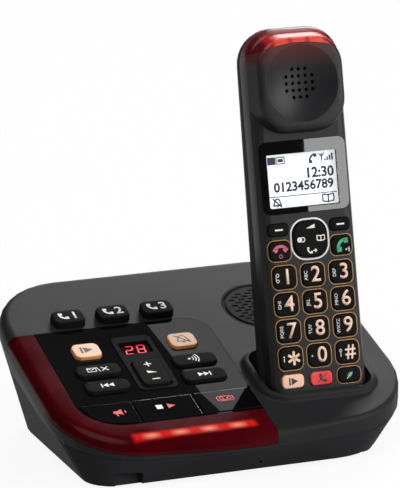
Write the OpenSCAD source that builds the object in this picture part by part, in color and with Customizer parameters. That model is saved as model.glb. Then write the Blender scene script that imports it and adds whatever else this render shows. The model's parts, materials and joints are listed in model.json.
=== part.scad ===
// Cordless telephone: a sloped answering base with a cradle, and a handset that lifts out of it.
// +Z is up, the front faces -Y, and the origin is on the floor under the middle of the base.

/* [Base case] */
// Width of the base across its widest outline
base_w = 170.6; // [166:0.2:180]
// Depth of the base from front to back
base_d = 136; // [133:1:146]
// Height of the sloped deck at its front edge
deck_front_h = 20; // [19:0.5:24]
// Slope of the deck, rising to the back
deck_slope = 17; // [15:0.5:19]
// Plan radius of the front corners
front_corner_r = 40; // [34:1:44]
// Plan radius of the back corners
back_corner_r = 36; // [30:1:40]
// How far the front edge bows out at its middle
front_bow = 3; // [0:0.5:5]
// Radius of the rounded edge round the deck
deck_edge_r = 5; // [4:0.5:6]
// Rounding of the deck's edge in front of the cradle
front_edge_r = 2; // [1.5:0.5:5]
// Height of the upright skirt under the deck
skirt_h = 9; // [8:0.5:11]
// Width of the outline at the bottom
bottom_w = 147; // [144:1:154]
// Depth of the outline at the bottom
bottom_d = 116; // [112:1:122]
// How far the bottom outline sits behind the front edge
bottom_setback = 6.5; // [5:0.5:9]
// Plan radius of the bottom corners
bottom_corner_r = 30; // [27:1:33]
// Plan radius of the bottom's front left corner
bottom_left_r = 14; // [14:1:20]
// How far the bottom outline sits to the right of the middle
bottom_shift = -1.5; // [-3:0.5:0]
// Wall thickness of the base mouldings
base_wall = 2.2; // [1.8:0.1:2.6]
// Height of the case seam at the front
seam_front_h = 12.5; // [11.5:0.5:13]
// Slope of the case seam, rising to the back
seam_slope = 10; // [8:0.5:12]
// Thickness of the locating lip inside the seam
lip_t = 1.2; // [1:0.1:1.6]
// Height of the locating lip above the seam
lip_h = 2.5; // [1.5:0.5:3.5]
// Height of the rubber feet below the case
foot_h = 1.5; // [1.5:0.5:3]
// Diameter of the rubber feet
foot_dia = 14; // [10:1:16]
// Depth of the recess that holds each foot
foot_recess = 0.6; // [0.4:0.1:1]

/* [Clearances] */
// Running gap round keys and other moving pieces
run_gap = 0.3; // [0.25:0.05:0.4]
// Gap at seams and round inlaid pieces
seam_gap = 0.2; // [0.15:0.05:0.3]
// Gap round the tilting keys
tilt_gap = 0.6; // [0.5:0.05:0.7]

/* [Control panel] */
// Deck between the base's left side and the panel
panel_edge = 12.6; // [11.4:0.1:14.2]
// Right edge of the panel, from the middle of the base
panel_right = 10.8; // [10.4:0.1:11.6]
// Front edge of the panel, measured along the deck
panel_front = -52.2; // [-53:0.1:-51.5]
// Back edge of the panel, measured along the deck
panel_back = 26; // [25:0.5:27]
// Radius of the panel's back right corner
panel_back_r = 12; // [8:1:14]
// Radius of the panel's front left corner
panel_front_r = 20; // [17:1:22]
// Width of the glued rim under the deck
panel_rim = 2; // [1.5:0.5:2.5]
// Depth of the red light band down the front wall
lens_drop = 5.6; // [4.5:0.1:6]

/* [Base keys] */
// Part of the panel's spare width that lies left of the left keys
left_spare = 0.382; // [0.36:0.001:0.4]
// Part of the panel's spare width that lies between left keys and counter
counter_spare = 0.164; // [0.15:0.001:0.18]
// Part of the panel's spare width that lies right of the right keys
right_spare = 0.307; // [0.28:0.001:0.32]
// Place of the two rounded keys, along the deck
round_key_s = 6.9; // [6:0.1:8]
// Width of the two rounded keys
round_key_w = 13; // [11:0.5:14]
// Length of the two rounded keys
round_key_l = 11; // [9:0.5:12]
// Place of the first row of bar keys, along the deck
bar_key_s = -9.4; // [-10:0.1:-8.5]
// Step between the two rows of bar keys
bar_key_pitch = 13; // [12:0.1:13.5]
// Width of the bar keys
bar_key_w = 21; // [18:0.5:22]
// Length of the bar keys
bar_key_l = 8.6; // [7.5:0.1:9.2]
// Place of the volume rocker, along the deck
rocker_s = -15.8; // [-16.5:0.1:-15]
// Width of the volume rocker
rocker_w = 13.6; // [12:0.2:14.2]
// Length of the volume rocker
rocker_l = 20; // [18:0.5:21]
// Place of the counter window, along the deck
counter_s = 6; // [5.5:0.1:6.6]
// Width of the counter window
counter_w = 14.4; // [13:0.2:15]
// Height of the counter window
counter_l = 9.4; // [8.5:0.1:10]
// Width of the grey frame round counter and rocker
bezel_w = 19; // [18:0.2:19.6]
// Back edge of the grey frame, along the deck
bezel_back = 15.5; // [14:0.5:17]
// Front edge of the grey frame, along the deck
bezel_front = -28; // [-29:0.2:-27.6]
// Front edge of the wide front keys, along the deck
front_key_s0 = -51; // [-51.2:0.1:-50.5]
// Back edge of the wide front keys, along the deck
front_key_s1 = -35.2; // [-36:0.1:-34.5]
// Width of the left front key, up to the first division
greeting_w = 25.8; // [24:0.1:27]
// Width of the right front key, from the second division
answer_w = 28.4; // [27:0.1:30]
// Row of memory keys, from the middle of the panel
memory_shift = -0.85; // [-1.6:0.05:0]
// Step between the memory keys
memory_pitch = 21.9; // [20:0.1:23]
// Place of the memory keys, along the deck
memory_s = 33.2; // [32.5:0.1:34]
// Width of the memory keys
memory_w = 15; // [13:0.5:16]
// Length of the memory keys
memory_l = 10.5; // [9:0.5:11]
// How far the memory keys stand proud
memory_proud = 3.4; // [2.5:0.1:4]
// How far the other base keys stand proud
key_proud = 1.6; // [1:0.1:2.2]
// How far a key is pressed
key_travel = 0.8; // [0.5:0.1:1]

/* [Speaker] */
// Middle of the speaker grille, across the base
grille_x = 41.8; // [40:0.2:44]
// Middle of the speaker grille, along the deck
grille_s = 29; // [28:0.5:31]
// Radius of the grille disc with its ring groove
grille_r = 19; // [17.5:0.5:20]
// Width of the ring groove
groove_w = 2.2; // [1.6:0.1:2.6]
// Length of one sound slot
slot_l = 3.4; // [3:0.1:3.6]
// Width of one sound slot
slot_w = 1.3; // [1.1:0.1:1.5]
// Step from slot to slot along a row
slot_pitch = 5; // [4.6:0.1:5.4]
// Step from row to row
slot_row = 2.3; // [2.1:0.1:2.6]

/* [Cradle] */
// Middle of the handset, across the base
handset_x = 42.8; // [42:0.2:44]
// Front of the handset's foot, from the middle of the base
handset_y = -45; // [-46:0.5:-44]
// Depth of the handset's foot below the deck
well_depth = 8.5; // [7.5:0.5:9.5]
// How far the handset leans back
lean = 13; // [11:0.5:15]
// Gap between the handset and the well
well_gap = 1.2; // [0.8:0.1:1.6]
// Wall of the well
well_wall = 1.8; // [1.5:0.1:2.2]
// Height of the soft lip round the well
collar_h = 3; // [2:0.5:4]
// Width of the lip's outline
collar_w = 62; // [60:0.5:63]
// Length of the lip's outline, along the deck
collar_l = 46; // [45:0.5:48]
// Middle of the lip, along the deck
collar_s = -29; // [-29.5:0.5:-28.5]
// Corner radius of the lip's outline
collar_r = 15; // [12:1:18]

/* [Handset case] */
// Width of the handset
handset_w = 47; // [46:0.5:49]
// Length of the handset
handset_l = 176; // [173:1:180]
// Thickness of the handset at its foot
handset_t = 26; // [25.5:0.5:27]
// Thickness of the handset behind the earpiece
handset_top_t = 20.5; // [19.5:0.5:22]
// Radius of the handset's lower corners
handset_low_r = 10; // [9.5:0.5:12]
// Radius of the handset's upper corners
handset_top_r = 16; // [14:0.5:18]
// Rounding of the front edge
handset_front_edge = 5; // [4:0.5:6]
// Rounding of the back edge
handset_back_edge = 9; // [7:0.5:9.5]
// Wall thickness of the handset mouldings
handset_wall = 1.8; // [1.6:0.1:2]
// Depth of the parting line behind the front face
parting = 10; // [9.8:0.1:11]
// Height of the earpiece pad above the face
pad_h = 6; // [5:0.5:7]
// Width of the earpiece pad at its foot
pad_w = 46.5; // [44:0.5:47]
// Length of the earpiece pad at its foot
pad_l = 47; // [45:0.5:48]
// Distance from the handset's top down to the earpiece
ear_drop = 25.5; // [24.5:0.5:26.5]
// Diameter of the earpiece dish
dish_dia = 35.5; // [33:0.5:36]
// Depth of the earpiece dish
dish_depth = 4; // [3.5:0.1:4.4]
// Diameter of one earpiece hole
ear_hole = 1.7; // [1.4:0.1:2]
// Step between the earpiece holes
ear_pitch = 3.2; // [3:0.1:3.5]
// Height of the red top light at its middle
light_drop = 7; // [6:0.5:7.5]
// Radius of that edge's arch
light_arch_r = 60; // [50:1:80]

/* [Handset keys] */
// Step between the dial key columns
dial_pitch_x = 14; // [13.8:0.1:14.2]
// Step between the dial key rows
dial_pitch_z = 12.3; // [12.2:0.1:12.4]
// Place of the lowest dial row, up the handset
dial_z = 26.1; // [26:0.1:26.5]
// Width of a dial key
dial_w = 10.8; // [10.4:0.1:11.6]
// Height of a dial key
dial_l = 9.8; // [9.4:0.1:10.4]
// Place of the short bottom row, up the handset
short_z = 15.6; // [15.2:0.1:15.8]
// Height of a key in the short bottom row
short_l = 6.4; // [5.8:0.1:6.6]
// Place of the talk and off keys, up the handset
talk_z = 75.2; // [75:0.1:75.6]
// Distance of the talk and off keys from the middle
talk_x = 15.2; // [15.1:0.1:15.4]
// Width of the talk, off and soft keys
talk_w = 10; // [9.4:0.1:10.2]
// Height of the talk and off keys
talk_l = 8.4; // [7.8:0.1:8.8]
// Place of the soft keys, up the handset
soft_z = 84.8; // [84.5:0.1:85.5]
// Height of the soft keys
soft_l = 5.6; // [5:0.1:6]
// Place of the navigator key, up the handset
nav_z = 79.4; // [79:0.1:80]
// Width and height of the navigator key
nav_w = 16.2; // [15.6:0.1:16.8]
// How far the handset keys stand proud
dial_proud = 1.1; // [0.8:0.1:1.4]

/* [Display] */
// Width of the clear display window
window_w = 42; // [40:0.5:42.5]
// Face between the earpiece pad and the window
window_gap = 2.2; // [2:0.1:2.6]
// Distance from the soft keys up to the window
window_lift = 7; // [6.8:0.1:7.4]
// Thickness of the clear display window
window_t = 1.2; // [1:0.1:1.3]
// Width of the picture on the display
lcd_w = 34; // [32:0.5:35]
// How much the picture is lower than the window
lcd_less = 9; // [8:0.5:11]
// Distance from the window's middle down to the picture's
lcd_drop = 1.3; // [0.8:0.1:1.8]

/* [Battery] */
// Diameter of a battery cell
cell_dia = 10.5; // [10:0.1:10.5]
// Length of a battery cell
cell_l = 44.5; // [43:0.5:46]
// Place of the cells' middle, up the handset
cell_z = 66; // [65:0.5:68]
// Width of the battery cover
cover_w = 34; // [33:0.5:36]
// Height of the battery cover
cover_l = 60; // [58:0.5:62]

/* [Hidden] */

$fn = 48;
// Segments and edge steps of a rounded outer form
blend_fn = 32;
blend_steps = 4;
// Segments and edge steps of a hidden inner form
inner_fn = 16;
inner_steps = 2;
// Segments and edge steps of a key cap
cap_fn = 16;
cap_steps = 2;
// Segments of a small round hole or slot end
small_fn = 20;
// Length that reaches past the whole object
reach = 400;
// Thickness of a slice that only starts a blend
sliver = 0.1;
// Overlap of a cut past the face that it opens
cut_over = 1;

// Deck and seam
deck_rise = tan(deck_slope);
deck_mid_h = deck_front_h + base_d / 2 * deck_rise;
bottom_y = -base_d / 2 + bottom_setback + bottom_d / 2;
function deck_z(y) = deck_mid_h + y * deck_rise;

// Panel, key columns and front keys, across the base
panel_left = panel_edge - base_w / 2;
spare_w = panel_right - panel_left - 2 * bar_key_w - bezel_w;
key_left_x = panel_left + left_spare * spare_w + bar_key_w / 2;
counter_x = key_left_x + bar_key_w / 2 + counter_spare * spare_w + bezel_w / 2;
key_right_x = panel_right - right_spare * spare_w - bar_key_w / 2;
front_split_1 = panel_left + greeting_w;
front_split_2 = panel_right - answer_w;
memory_x = (panel_left + panel_right) / 2 + memory_shift;

// Earpiece, light, window and display, up the handset
ear_z = handset_l - ear_drop;
light_z = handset_l - light_drop;
window_top = ear_z - pad_l / 2 - window_gap;
window_low = soft_z + window_lift;
window_l = window_top - window_low;
window_z = (window_top + window_low) / 2;
lcd_l = window_l - lcd_less;
lcd_z = window_z - lcd_drop;

// Layers under the deck, counted down from its surface
flange_t = 1;
stem_l = 1.5;
flange_top = -base_wall - run_gap;
stem_low = flange_top - flange_t - stem_l;
mat_t = 1.2;
mat_top = stem_low - key_travel - run_gap;
board_t = 1.6;
board_top = mat_top - mat_t;
flange_w = 1;
stem_r = 1;
key_corner_r = 3;
cap_edge_r = 0.8;

// Layers behind the handset's face, counted back from it
dial_flange_w = 0.8;
dial_flange_l = 0.6;
dial_flange_t = 0.9;
dial_stem_l = 2;
dial_corner_r = 2.6;
short_corner_r = 2;
dial_flange_y = handset_wall + run_gap;
dial_stem_y = dial_flange_y + dial_flange_t + dial_stem_l;
dial_mat_y = dial_stem_y + key_travel + run_gap;
dial_board_y = dial_mat_y + mat_t;
dial_board_t = 1;

// Colours
charcoal = "#3a3a3c";
dark_case = "#232325";
gloss_black = "#0b0b0d";
peach = "#f4b98d";
deep_red = "#7a0010";
key_black = "#1b1b1c";
board_green = "#2c5a3a";
steel = "#b9bcc0";

// Corner cut from a square outline to leave a round one
module corner_cut(r) {
    difference() {
        translate([-cut_over, -cut_over])
            square(r + cut_over);
        translate([r, r])
            circle(r);
    }
}

// Rectangle from corner to corner with its own radius at each corner
module outline(x0, y0, x1, y1, front_left, front_right, back_right, back_left) {
    difference() {
        translate([x0, y0])
            square([x1 - x0, y1 - y0]);
        if (front_left > 0)
            translate([x0, y0])
                corner_cut(front_left);
        if (front_right > 0)
            translate([x1, y0])
                rotate(90)
                    corner_cut(front_right);
        if (back_right > 0)
            translate([x1, y1])
                rotate(180)
                    corner_cut(back_right);
        if (back_left > 0)
            translate([x0, y1])
                rotate(270)
                    corner_cut(back_left);
    }
}

// Centred rectangle with four equal round corners
module round_rect(w, l, r) {
    square([w - 2 * r, l], center = true);
    square([w, l - 2 * r], center = true);
    for (x = [-1, 1])
        for (y = [-1, 1])
            translate([x * (w / 2 - r), y * (l / 2 - r)])
                circle(r);
}

// Disc with a rounded upper edge, its top at z = 0
module puck(r, h, edge, segments, edge_steps) {
    rotate_extrude($fn = segments)
        polygon(concat(
            [[0, -h], [r, -h]],
            [for (i = [0 : edge_steps])
                let (a = 90 * i / edge_steps)
                    [r - edge + edge * cos(a), -edge + edge * sin(a)]],
            [[0, 0]]
        ));
}

// Centred pad with round corners and a rounded upper edge
module soft_pad(w, l, r, h, edge, segments, edge_steps) {
    hull()
        for (x = [-1, 1])
            for (y = [-1, 1])
                translate([x * (w / 2 - r), y * (l / 2 - r), 0])
                    puck(r, h, edge, segments, edge_steps);
}

// Places a piece on the deck, with z square to it
module on_deck(x = 0, s = 0) {
    translate([0, 0, deck_mid_h])
        rotate([deck_slope, 0, 0])
            translate([x, s, 0])
                children();
}

// Places a piece in the handset: x across, y back from the face, z up from its foot
module in_handset() {
    translate([handset_x, handset_y, deck_z(handset_y) - well_depth])
        rotate([-lean, 0, 0])
            children();
}

// Turns a form that is drawn upwards so that it stands on the handset's face
module on_face(x = 0, z = 0) {
    translate([x, 0, z])
        rotate([90, 0, 0])
            children();
}

// Outer form of the base, drawn in by an even inset
module base_body(inset) {
    edge = max(deck_edge_r - inset, cap_edge_r);
    front_edge = max(front_edge_r - inset, cap_edge_r);
    front_r = front_corner_r - inset;
    back_r = back_corner_r - inset;
    segments = inset > 0 ? inner_fn : blend_fn;
    edge_steps = inset > 0 ? inner_steps : blend_steps;
    front_x = base_w / 2 - front_corner_r;
    front_y = -base_d / 2 + front_corner_r;
    shear = [[1, 0, 0, 0], [0, 1, 0, 0], [0, deck_rise, 1, deck_mid_h], [0, 0, 0, 1]];
    hull() {
        multmatrix(shear)
            translate([0, 0, -inset / cos(deck_slope)]) {
                for (t = [-1 : 0.5 : 1])
                    translate([t * front_x, front_y + front_bow * t * t, 0])
                        puck(front_r, skirt_h, t > 0 ? front_edge : edge, segments, edge_steps);
                for (x = [-1, 1])
                    translate([x * (base_w / 2 - back_corner_r), base_d / 2 - back_corner_r, 0])
                        puck(back_r, skirt_h, edge, segments, edge_steps);
            }
        for (x = [-1, 1])
            for (y = [-1, 1])
                let (r = x < 0 && y < 0 ? bottom_left_r : bottom_corner_r)
                    translate([
                        bottom_shift + x * (bottom_w / 2 - r),
                        bottom_y + y * (bottom_d / 2 - r),
                        foot_h + inset
                    ])
                        cylinder(r = r - inset, h = sliver, $fn = segments);
    }
}

// Everything above the case seam, lifted by a height
module above_seam(lift) {
    translate([0, -base_d / 2, seam_front_h + lift])
        rotate([seam_slope, 0, 0])
            translate([-reach / 2, -reach / 2, 0])
                cube(reach);
}

// Everything below the case seam, lifted by a height
module below_seam(lift) {
    translate([0, -base_d / 2, seam_front_h + lift])
        rotate([seam_slope, 0, 0])
            translate([-reach / 2, -reach / 2, -reach])
                cube(reach);
}

// Outline of the glossy panel, grown by an even margin
module panel_outline(grow) {
    outline(
        panel_left - grow, panel_front - grow, panel_right + grow, panel_back + grow,
        panel_front_r + grow, 0, panel_back_r + grow, 0
    );
}

// Outline of the L-shaped light band: left of the panel and in front of it
module light_outline(grow) {
    difference() {
        translate([-reach / 2, -reach / 2])
            square([reach / 2 + panel_right + grow, reach / 2 + panel_back + grow]);
        panel_outline(seam_gap - grow);
        translate([panel_left + panel_front_r, panel_front - grow + seam_gap])
            square(reach);
    }
}

// The light band's share of the deck edge, as a cutting form
module light_zone(grow) {
    on_deck()
        translate([0, 0, -lens_drop - grow])
            linear_extrude(lens_drop + deck_edge_r)
                light_outline(grow);
}

// Screw posts of the base
base_screw_in = 8.7;
base_screw_side = 10.5;
base_screw_places = [
    [22.8, bottom_y - bottom_d / 2 + base_screw_in],
    [-50, bottom_y + bottom_d / 2 - base_screw_in],
    [14, bottom_y + bottom_d / 2 - base_screw_in],
    [bottom_w / 2 + bottom_shift - base_screw_side, 0]
];
post_r = 3.6;
post_split_h = 11;
screw_dia = 2.6;
screw_hole = 2.8;
screw_head_dia = 5.4;
screw_head_h = 2;
head_hole_dia = 6.2;
head_seat_h = 6;
screw_top_h = 17;

// Sockets in the back wall
line_x = -34;
power_x = -8;
socket_low_h = 7;
socket_back_y = bottom_y + bottom_d / 2 + 1;
line_w = 15;
line_h = 13;
line_depth = 16;
line_hole_w = 11.7;
line_hole_h = 6.8;
line_hole_depth = 12;
latch_w = 4.4;
latch_h = 2.4;
power_w = 9.5;
power_h = 11;
power_depth = 14;
power_bore = 5.6;
power_bore_depth = 9.5;
power_pin = 2;
power_pin_sink = 1;

// Middles of the four feet, set in from the corners of the bottom
foot_inset = 14;
foot_edge = 0.8;
foot_places = [
    for (x = [-1, 1])
        for (y = [-1, 1])
            [bottom_shift + x * (bottom_w / 2 - foot_inset), bottom_y + y * (bottom_d / 2 - foot_inset)]
];

// Lifting notch and microphone hole in the front wall
notch_x = -58.3;
notch_w = 12.5;
notch_top_h = 7.4;
notch_depth = 1.3;
notch_r = 2;
mic_x = 3.8;
mic_h = 5.6;
mic_dia = 1.4;
mic_floor = 0.6;

// The lifting notch, sunk into the front wall from below
module front_notch() {
    translate([notch_x, -base_d / 2 + bottom_setback + notch_depth, 0])
        rotate([90, 0, 0])
            linear_extrude(base_d)
                round_rect(notch_w, 2 * notch_top_h, notch_r);
}

module base_lower_case() {
    color(dark_case)
        difference() {
            union() {
                intersection() {
                    base_body(0);
                    below_seam(-seam_gap / 2);
                }
                intersection() {
                    base_body(base_wall + seam_gap);
                    below_seam(lip_h);
                }
            }
            difference() {
                base_body(base_wall + lip_t);
                for (p = base_screw_places)
                    translate([p.x, p.y, foot_h])
                        cylinder(r = post_r, h = post_split_h - foot_h);
            }
            for (p = base_screw_places)
                translate([p.x, p.y, 0]) {
                    cylinder(d = head_hole_dia, h = head_seat_h);
                    cylinder(d = screw_hole, h = post_split_h + cut_over);
                }
            for (p = foot_places)
                translate([p.x, p.y, 0])
                    cylinder(d = foot_dia + 2 * seam_gap, h = foot_h + foot_recess);
            front_notch();
            translate([mic_x, -base_d / 2 + bottom_setback - mic_floor, mic_h])
                rotate([90, 0, 0])
                    cylinder(d = mic_dia, h = base_d, $fn = small_fn);
            translate([line_x, socket_back_y, socket_low_h + line_h / 2])
                cube([line_w + 2 * seam_gap, 2 * line_depth, line_h + 2 * seam_gap], center = true);
            translate([power_x, socket_back_y, socket_low_h + power_h / 2])
                cube([power_w + 2 * seam_gap, 2 * power_depth, power_h + 2 * seam_gap], center = true);
        }
}

// Foot of the lip in two slopes: how far set in and how high each one starts and ends
collar_slopes = [[0, -0.1, 1.6, 0.55], [1, 0.2, 2.4, 1.6]];
crest_inset = 1.7;
crest_edge = 2.2;

// Block from inside the deck wall up to a height, set in from the lip's outline
module collar_block(inset, h) {
    depth = (base_wall - inset) / 2;
    translate([0, 0, -depth])
        linear_extrude(depth + h)
            round_rect(collar_w - 2 * inset, collar_l - 2 * inset, collar_r - inset, $fn = blend_fn);
}

// The lip round the well, swelling out of the deck up to its rounded crest
module collar() {
    on_deck(handset_x, collar_s) {
        for (slope = collar_slopes)
            hull() {
                collar_block(slope[0], slope[1]);
                collar_block(slope[2], slope[3]);
            }
        translate([0, 0, collar_h])
            soft_pad(
                collar_w - 2 * crest_inset, collar_l - 2 * crest_inset, collar_r - crest_inset,
                collar_h + base_wall, crest_edge, blend_fn, blend_steps
            );
    }
}

well_w = handset_w + 2 * well_gap;
well_t = handset_t + 2 * well_gap;
well_r = 6;
well_top = 60;
contact_x = 9;
contact_y = 11;
contact_w = 3;
contact_t = 6;

// Section of the well round the handset, grown by an even margin
module well_section(grow) {
    translate([0, handset_t / 2])
        round_rect(well_w + 2 * grow, well_t + 2 * grow, well_r + grow);
}

// The hollow that takes the handset, flared at its mouth
module well_hollow() {
    flare = 2.6;
    flare_run = 10;
    throat_less = 20.4;
    mouth_less = 8.8;
    throat_l = collar_l - throat_less;
    mouth_l = collar_l - mouth_less;
    in_handset() {
        translate([0, 0, -run_gap])
            linear_extrude(well_top)
                well_section(0);
        for (x = [-1, 1])
            translate([x * contact_x, contact_y, 0])
                cube([contact_w + 2 * seam_gap, contact_t + 2 * seam_gap, 4 * well_wall], center = true);
    }
    on_deck(handset_x, collar_s)
        hull() {
            translate([0, 0, collar_h - flare_run])
                linear_extrude(sliver)
                    round_rect(well_w - flare, throat_l, well_r);
            translate([0, 0, collar_h])
                linear_extrude(sliver)
                    round_rect(well_w + flare, mouth_l, well_r + flare);
        }
}

ledge_t = 1.2;
ledge_w = 2;

module base_upper_case() {
    color(charcoal)
        difference() {
            union() {
                difference() {
                    intersection() {
                        base_body(0);
                        above_seam(seam_gap / 2);
                    }
                    base_body(base_wall);
                }
                collar();
                intersection() {
                    base_body(sliver);
                    union() {
                        in_handset()
                            translate([0, 0, -run_gap - well_wall])
                                linear_extrude(well_top)
                                    well_section(well_wall);
                        on_deck(grille_x, grille_s)
                            translate([0, 0, -base_wall - ledge_t])
                                cylinder(r = grille_r + ledge_w, h = base_wall + ledge_t - sliver);
                        for (p = base_screw_places)
                            translate([p.x, p.y, post_split_h])
                                cylinder(r = post_r, h = reach);
                    }
                }
            }
            well_hollow();
            light_zone(seam_gap);
            on_deck() {
                translate([0, 0, -base_wall - cut_over])
                    linear_extrude(base_wall + 2 * cut_over)
                        panel_outline(seam_gap);
                for (i = [-1 : 1])
                    translate([memory_x + i * memory_pitch, memory_s, -base_wall - cut_over])
                        linear_extrude(base_wall + 2 * cut_over)
                            round_rect(memory_w + 2 * run_gap, memory_l + 2 * run_gap, key_corner_r + run_gap);
                translate([grille_x, grille_s, -base_wall])
                    cylinder(r = grille_r + seam_gap, h = base_wall + cut_over);
                translate([grille_x, grille_s, -base_wall - ledge_t - cut_over])
                    cylinder(r = grille_r - ledge_w, h = base_wall + ledge_t + cut_over);
            }
            for (p = base_screw_places)
                translate([p.x, p.y, 0])
                    cylinder(d = screw_hole, h = screw_top_h + cut_over);
        }
}

// Rectangle of one wide front key, set in from the panel's edge
front_key_edge = 1.2;
module front_key_outline(x0, x1, corner_r, grow) {
    outline(x0 - grow, front_key_s0 - grow, x1 + grow, front_key_s1 + grow, corner_r, 0, 0, 0);
}

front_key_gap = 0.6;
greeting_x = [panel_left + front_key_edge, front_split_1 - front_key_gap];
play_x = [front_split_1 + front_key_gap, front_split_2 - front_key_gap];
answer_x = [front_split_2 + front_key_gap, panel_right - front_key_edge];
greeting_r = panel_front_r - front_key_edge;

// Posts under the panel that carry the circuit board
panel_post_r = 1.8;
panel_post_inset = 3.8;
panel_post_s = [-27, 14];
panel_posts = [
    for (x = [panel_left + panel_post_inset, panel_right - panel_post_inset])
        for (s = panel_post_s)
            [x, s]
];
// The glued rim stops short of the memory keys
rim_back = memory_s - memory_l / 2 - flange_w - run_gap;

module control_panel() {
    color(gloss_black)
        on_deck() {
            difference() {
                union() {
                    translate([0, 0, -base_wall])
                        linear_extrude(base_wall)
                            panel_outline(0);
                    translate([0, 0, -base_wall - flange_t])
                        linear_extrude(flange_t)
                            intersection() {
                                panel_outline(panel_rim);
                                translate([-reach / 2, rim_back - reach])
                                    square(reach);
                            }
                }
                translate([0, 0, -base_wall - flange_t - cut_over]) {
                    linear_extrude(flange_t + cut_over)
                        panel_pocket();
                    linear_extrude(base_wall + flange_t + 2 * cut_over)
                        panel_openings();
                }
            }
            for (p = panel_posts)
                translate([p.x, p.y, board_top])
                    cylinder(r = panel_post_r, h = -board_top - base_wall + sliver);
        }
}

// Openings for the keys and the grey frame
module panel_openings() {
    for (x = [key_left_x, key_right_x]) {
        translate([x, round_key_s])
            round_rect(round_key_w + 2 * run_gap, round_key_l + 2 * run_gap, key_corner_r + run_gap);
        for (i = [0, 1])
            translate([x, bar_key_s - i * bar_key_pitch])
                round_rect(bar_key_w + 2 * run_gap, bar_key_l + 2 * run_gap, key_corner_r + run_gap);
    }
    bezel_outline(seam_gap);
    front_key_outline(greeting_x[0], greeting_x[1], greeting_r, run_gap);
    front_key_outline(play_x[0], play_x[1], 0, run_gap);
    front_key_outline(answer_x[0], answer_x[1], 0, run_gap);
}

// The thinned underside of the panel that leaves room for the key flanges
module panel_pocket() {
    pocket_edge = 0.4;
    outline(
        panel_left + pocket_edge, panel_front + pocket_edge,
        panel_right - pocket_edge, panel_back - pocket_edge,
        panel_front_r - pocket_edge, 0, panel_back_r - pocket_edge, 0
    );
}

bezel_r = 3;
counter_r = 1;

module counter_bezel() {
    bezel_proud = 0.5;
    bezel_rim = 0.9;
    color(charcoal)
        on_deck()
            difference() {
                union() {
                    translate([0, 0, -base_wall])
                        linear_extrude(base_wall + bezel_proud)
                            bezel_outline(0);
                    translate([0, 0, -base_wall - flange_t])
                        linear_extrude(flange_t)
                            bezel_outline(bezel_rim);
                }
                translate([counter_x, counter_s, -base_wall - flange_t - cut_over])
                    linear_extrude(reach)
                        round_rect(counter_w + 2 * seam_gap, counter_l + 2 * seam_gap, counter_r);
                translate([counter_x, rocker_s, -base_wall - flange_t - cut_over])
                    linear_extrude(reach)
                        round_rect(rocker_w + 2 * tilt_gap, rocker_l + 2 * tilt_gap, key_corner_r);
            }
}

// Outline of the grey frame, grown by an even margin
module bezel_outline(grow) {
    outline(
        counter_x - bezel_w / 2 - grow, bezel_front - grow,
        counter_x + bezel_w / 2 + grow, bezel_back + grow, bezel_r, bezel_r, bezel_r, bezel_r
    );
}

module counter_display() {
    window_sink = 0.8;
    color("#2a0306")
        on_deck(counter_x, counter_s)
            translate([0, 0, board_top])
                linear_extrude(-board_top - window_sink)
                    round_rect(counter_w, counter_l, counter_r - seam_gap);
}

module ringer_light_lens() {
    color(deep_red)
        difference() {
            intersection() {
                base_body(0);
                light_zone(0);
            }
            base_body(base_wall);
        }
}

module speaker_grille() {
    slot_margin = 0.8;
    slot_field_r = grille_r - groove_w - slot_l / 2 - slot_margin;
    slot_cols = ceil(slot_field_r / slot_pitch);
    slot_rows = ceil(slot_field_r / slot_row);
    groove_depth = 1.2;
    rim_w = 0.6;
    color(dark_case)
        on_deck(grille_x, grille_s)
            translate([0, 0, -base_wall])
                difference() {
                    cylinder(r = grille_r, h = base_wall);
                    translate([0, 0, base_wall - groove_depth])
                        difference() {
                            cylinder(r = grille_r - rim_w, h = base_wall);
                            translate([0, 0, -cut_over])
                                cylinder(r = grille_r - groove_w, h = reach);
                        }
                    translate([0, 0, -cut_over])
                        linear_extrude(base_wall + 2 * cut_over)
                            for (j = [-slot_rows : slot_rows])
                                for (i = [-slot_cols : slot_cols])
                                    let (x = (i + (j % 2 == 0 ? 0 : 0.5)) * slot_pitch, y = j * slot_row)
                                        if (norm([x, y]) < slot_field_r)
                                            translate([x, y])
                                                slot();
                }
}

// One oblong sound slot
module slot() {
    square([slot_l - slot_w, slot_w], center = true);
    for (x = [-1, 1])
        translate([x * (slot_l - slot_w) / 2, 0])
            circle(d = slot_w, $fn = small_fn);
}

module base_speaker() {
    cone_r = grille_r - ledge_w;
    frame_over = 0.6;
    frame_r = grille_r + frame_over;
    frame_t = 1.6;
    surround_r = cone_r - ledge_w;
    magnet_r = 8.5;
    magnet_top = -6;
    magnet_low = -11;
    dome_r = 5;
    cone_low = -4;
    dome_top = -2;
    color("#4a4a4a")
        on_deck(grille_x, grille_s)
            translate([0, 0, -base_wall - ledge_t])
                rotate_extrude()
                    polygon([
                        [0, magnet_low], [magnet_r, magnet_low], [magnet_r, magnet_top],
                        [surround_r, -frame_t], [frame_r, -frame_t], [frame_r, 0], [cone_r, 0],
                        [surround_r, -frame_t / 2], [dome_r, cone_low], [0, dome_top]
                    ]);
}

// Edges of the circuit board, and its strip under the light band
board_inset = 1.5;
board_left = panel_left + board_inset;
board_right = panel_right - board_inset;
board_front = front_key_s0 + board_inset;
board_back = memory_s + memory_l / 2 + board_inset;
board_r = 1;
post_room = 2;
led_reach = 8.5;
led_board_s = panel_front - led_reach;
led_left = 20.7;
led_right = 3.8;
led_x0 = panel_left + led_left;
led_x1 = panel_right - led_right;

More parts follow.
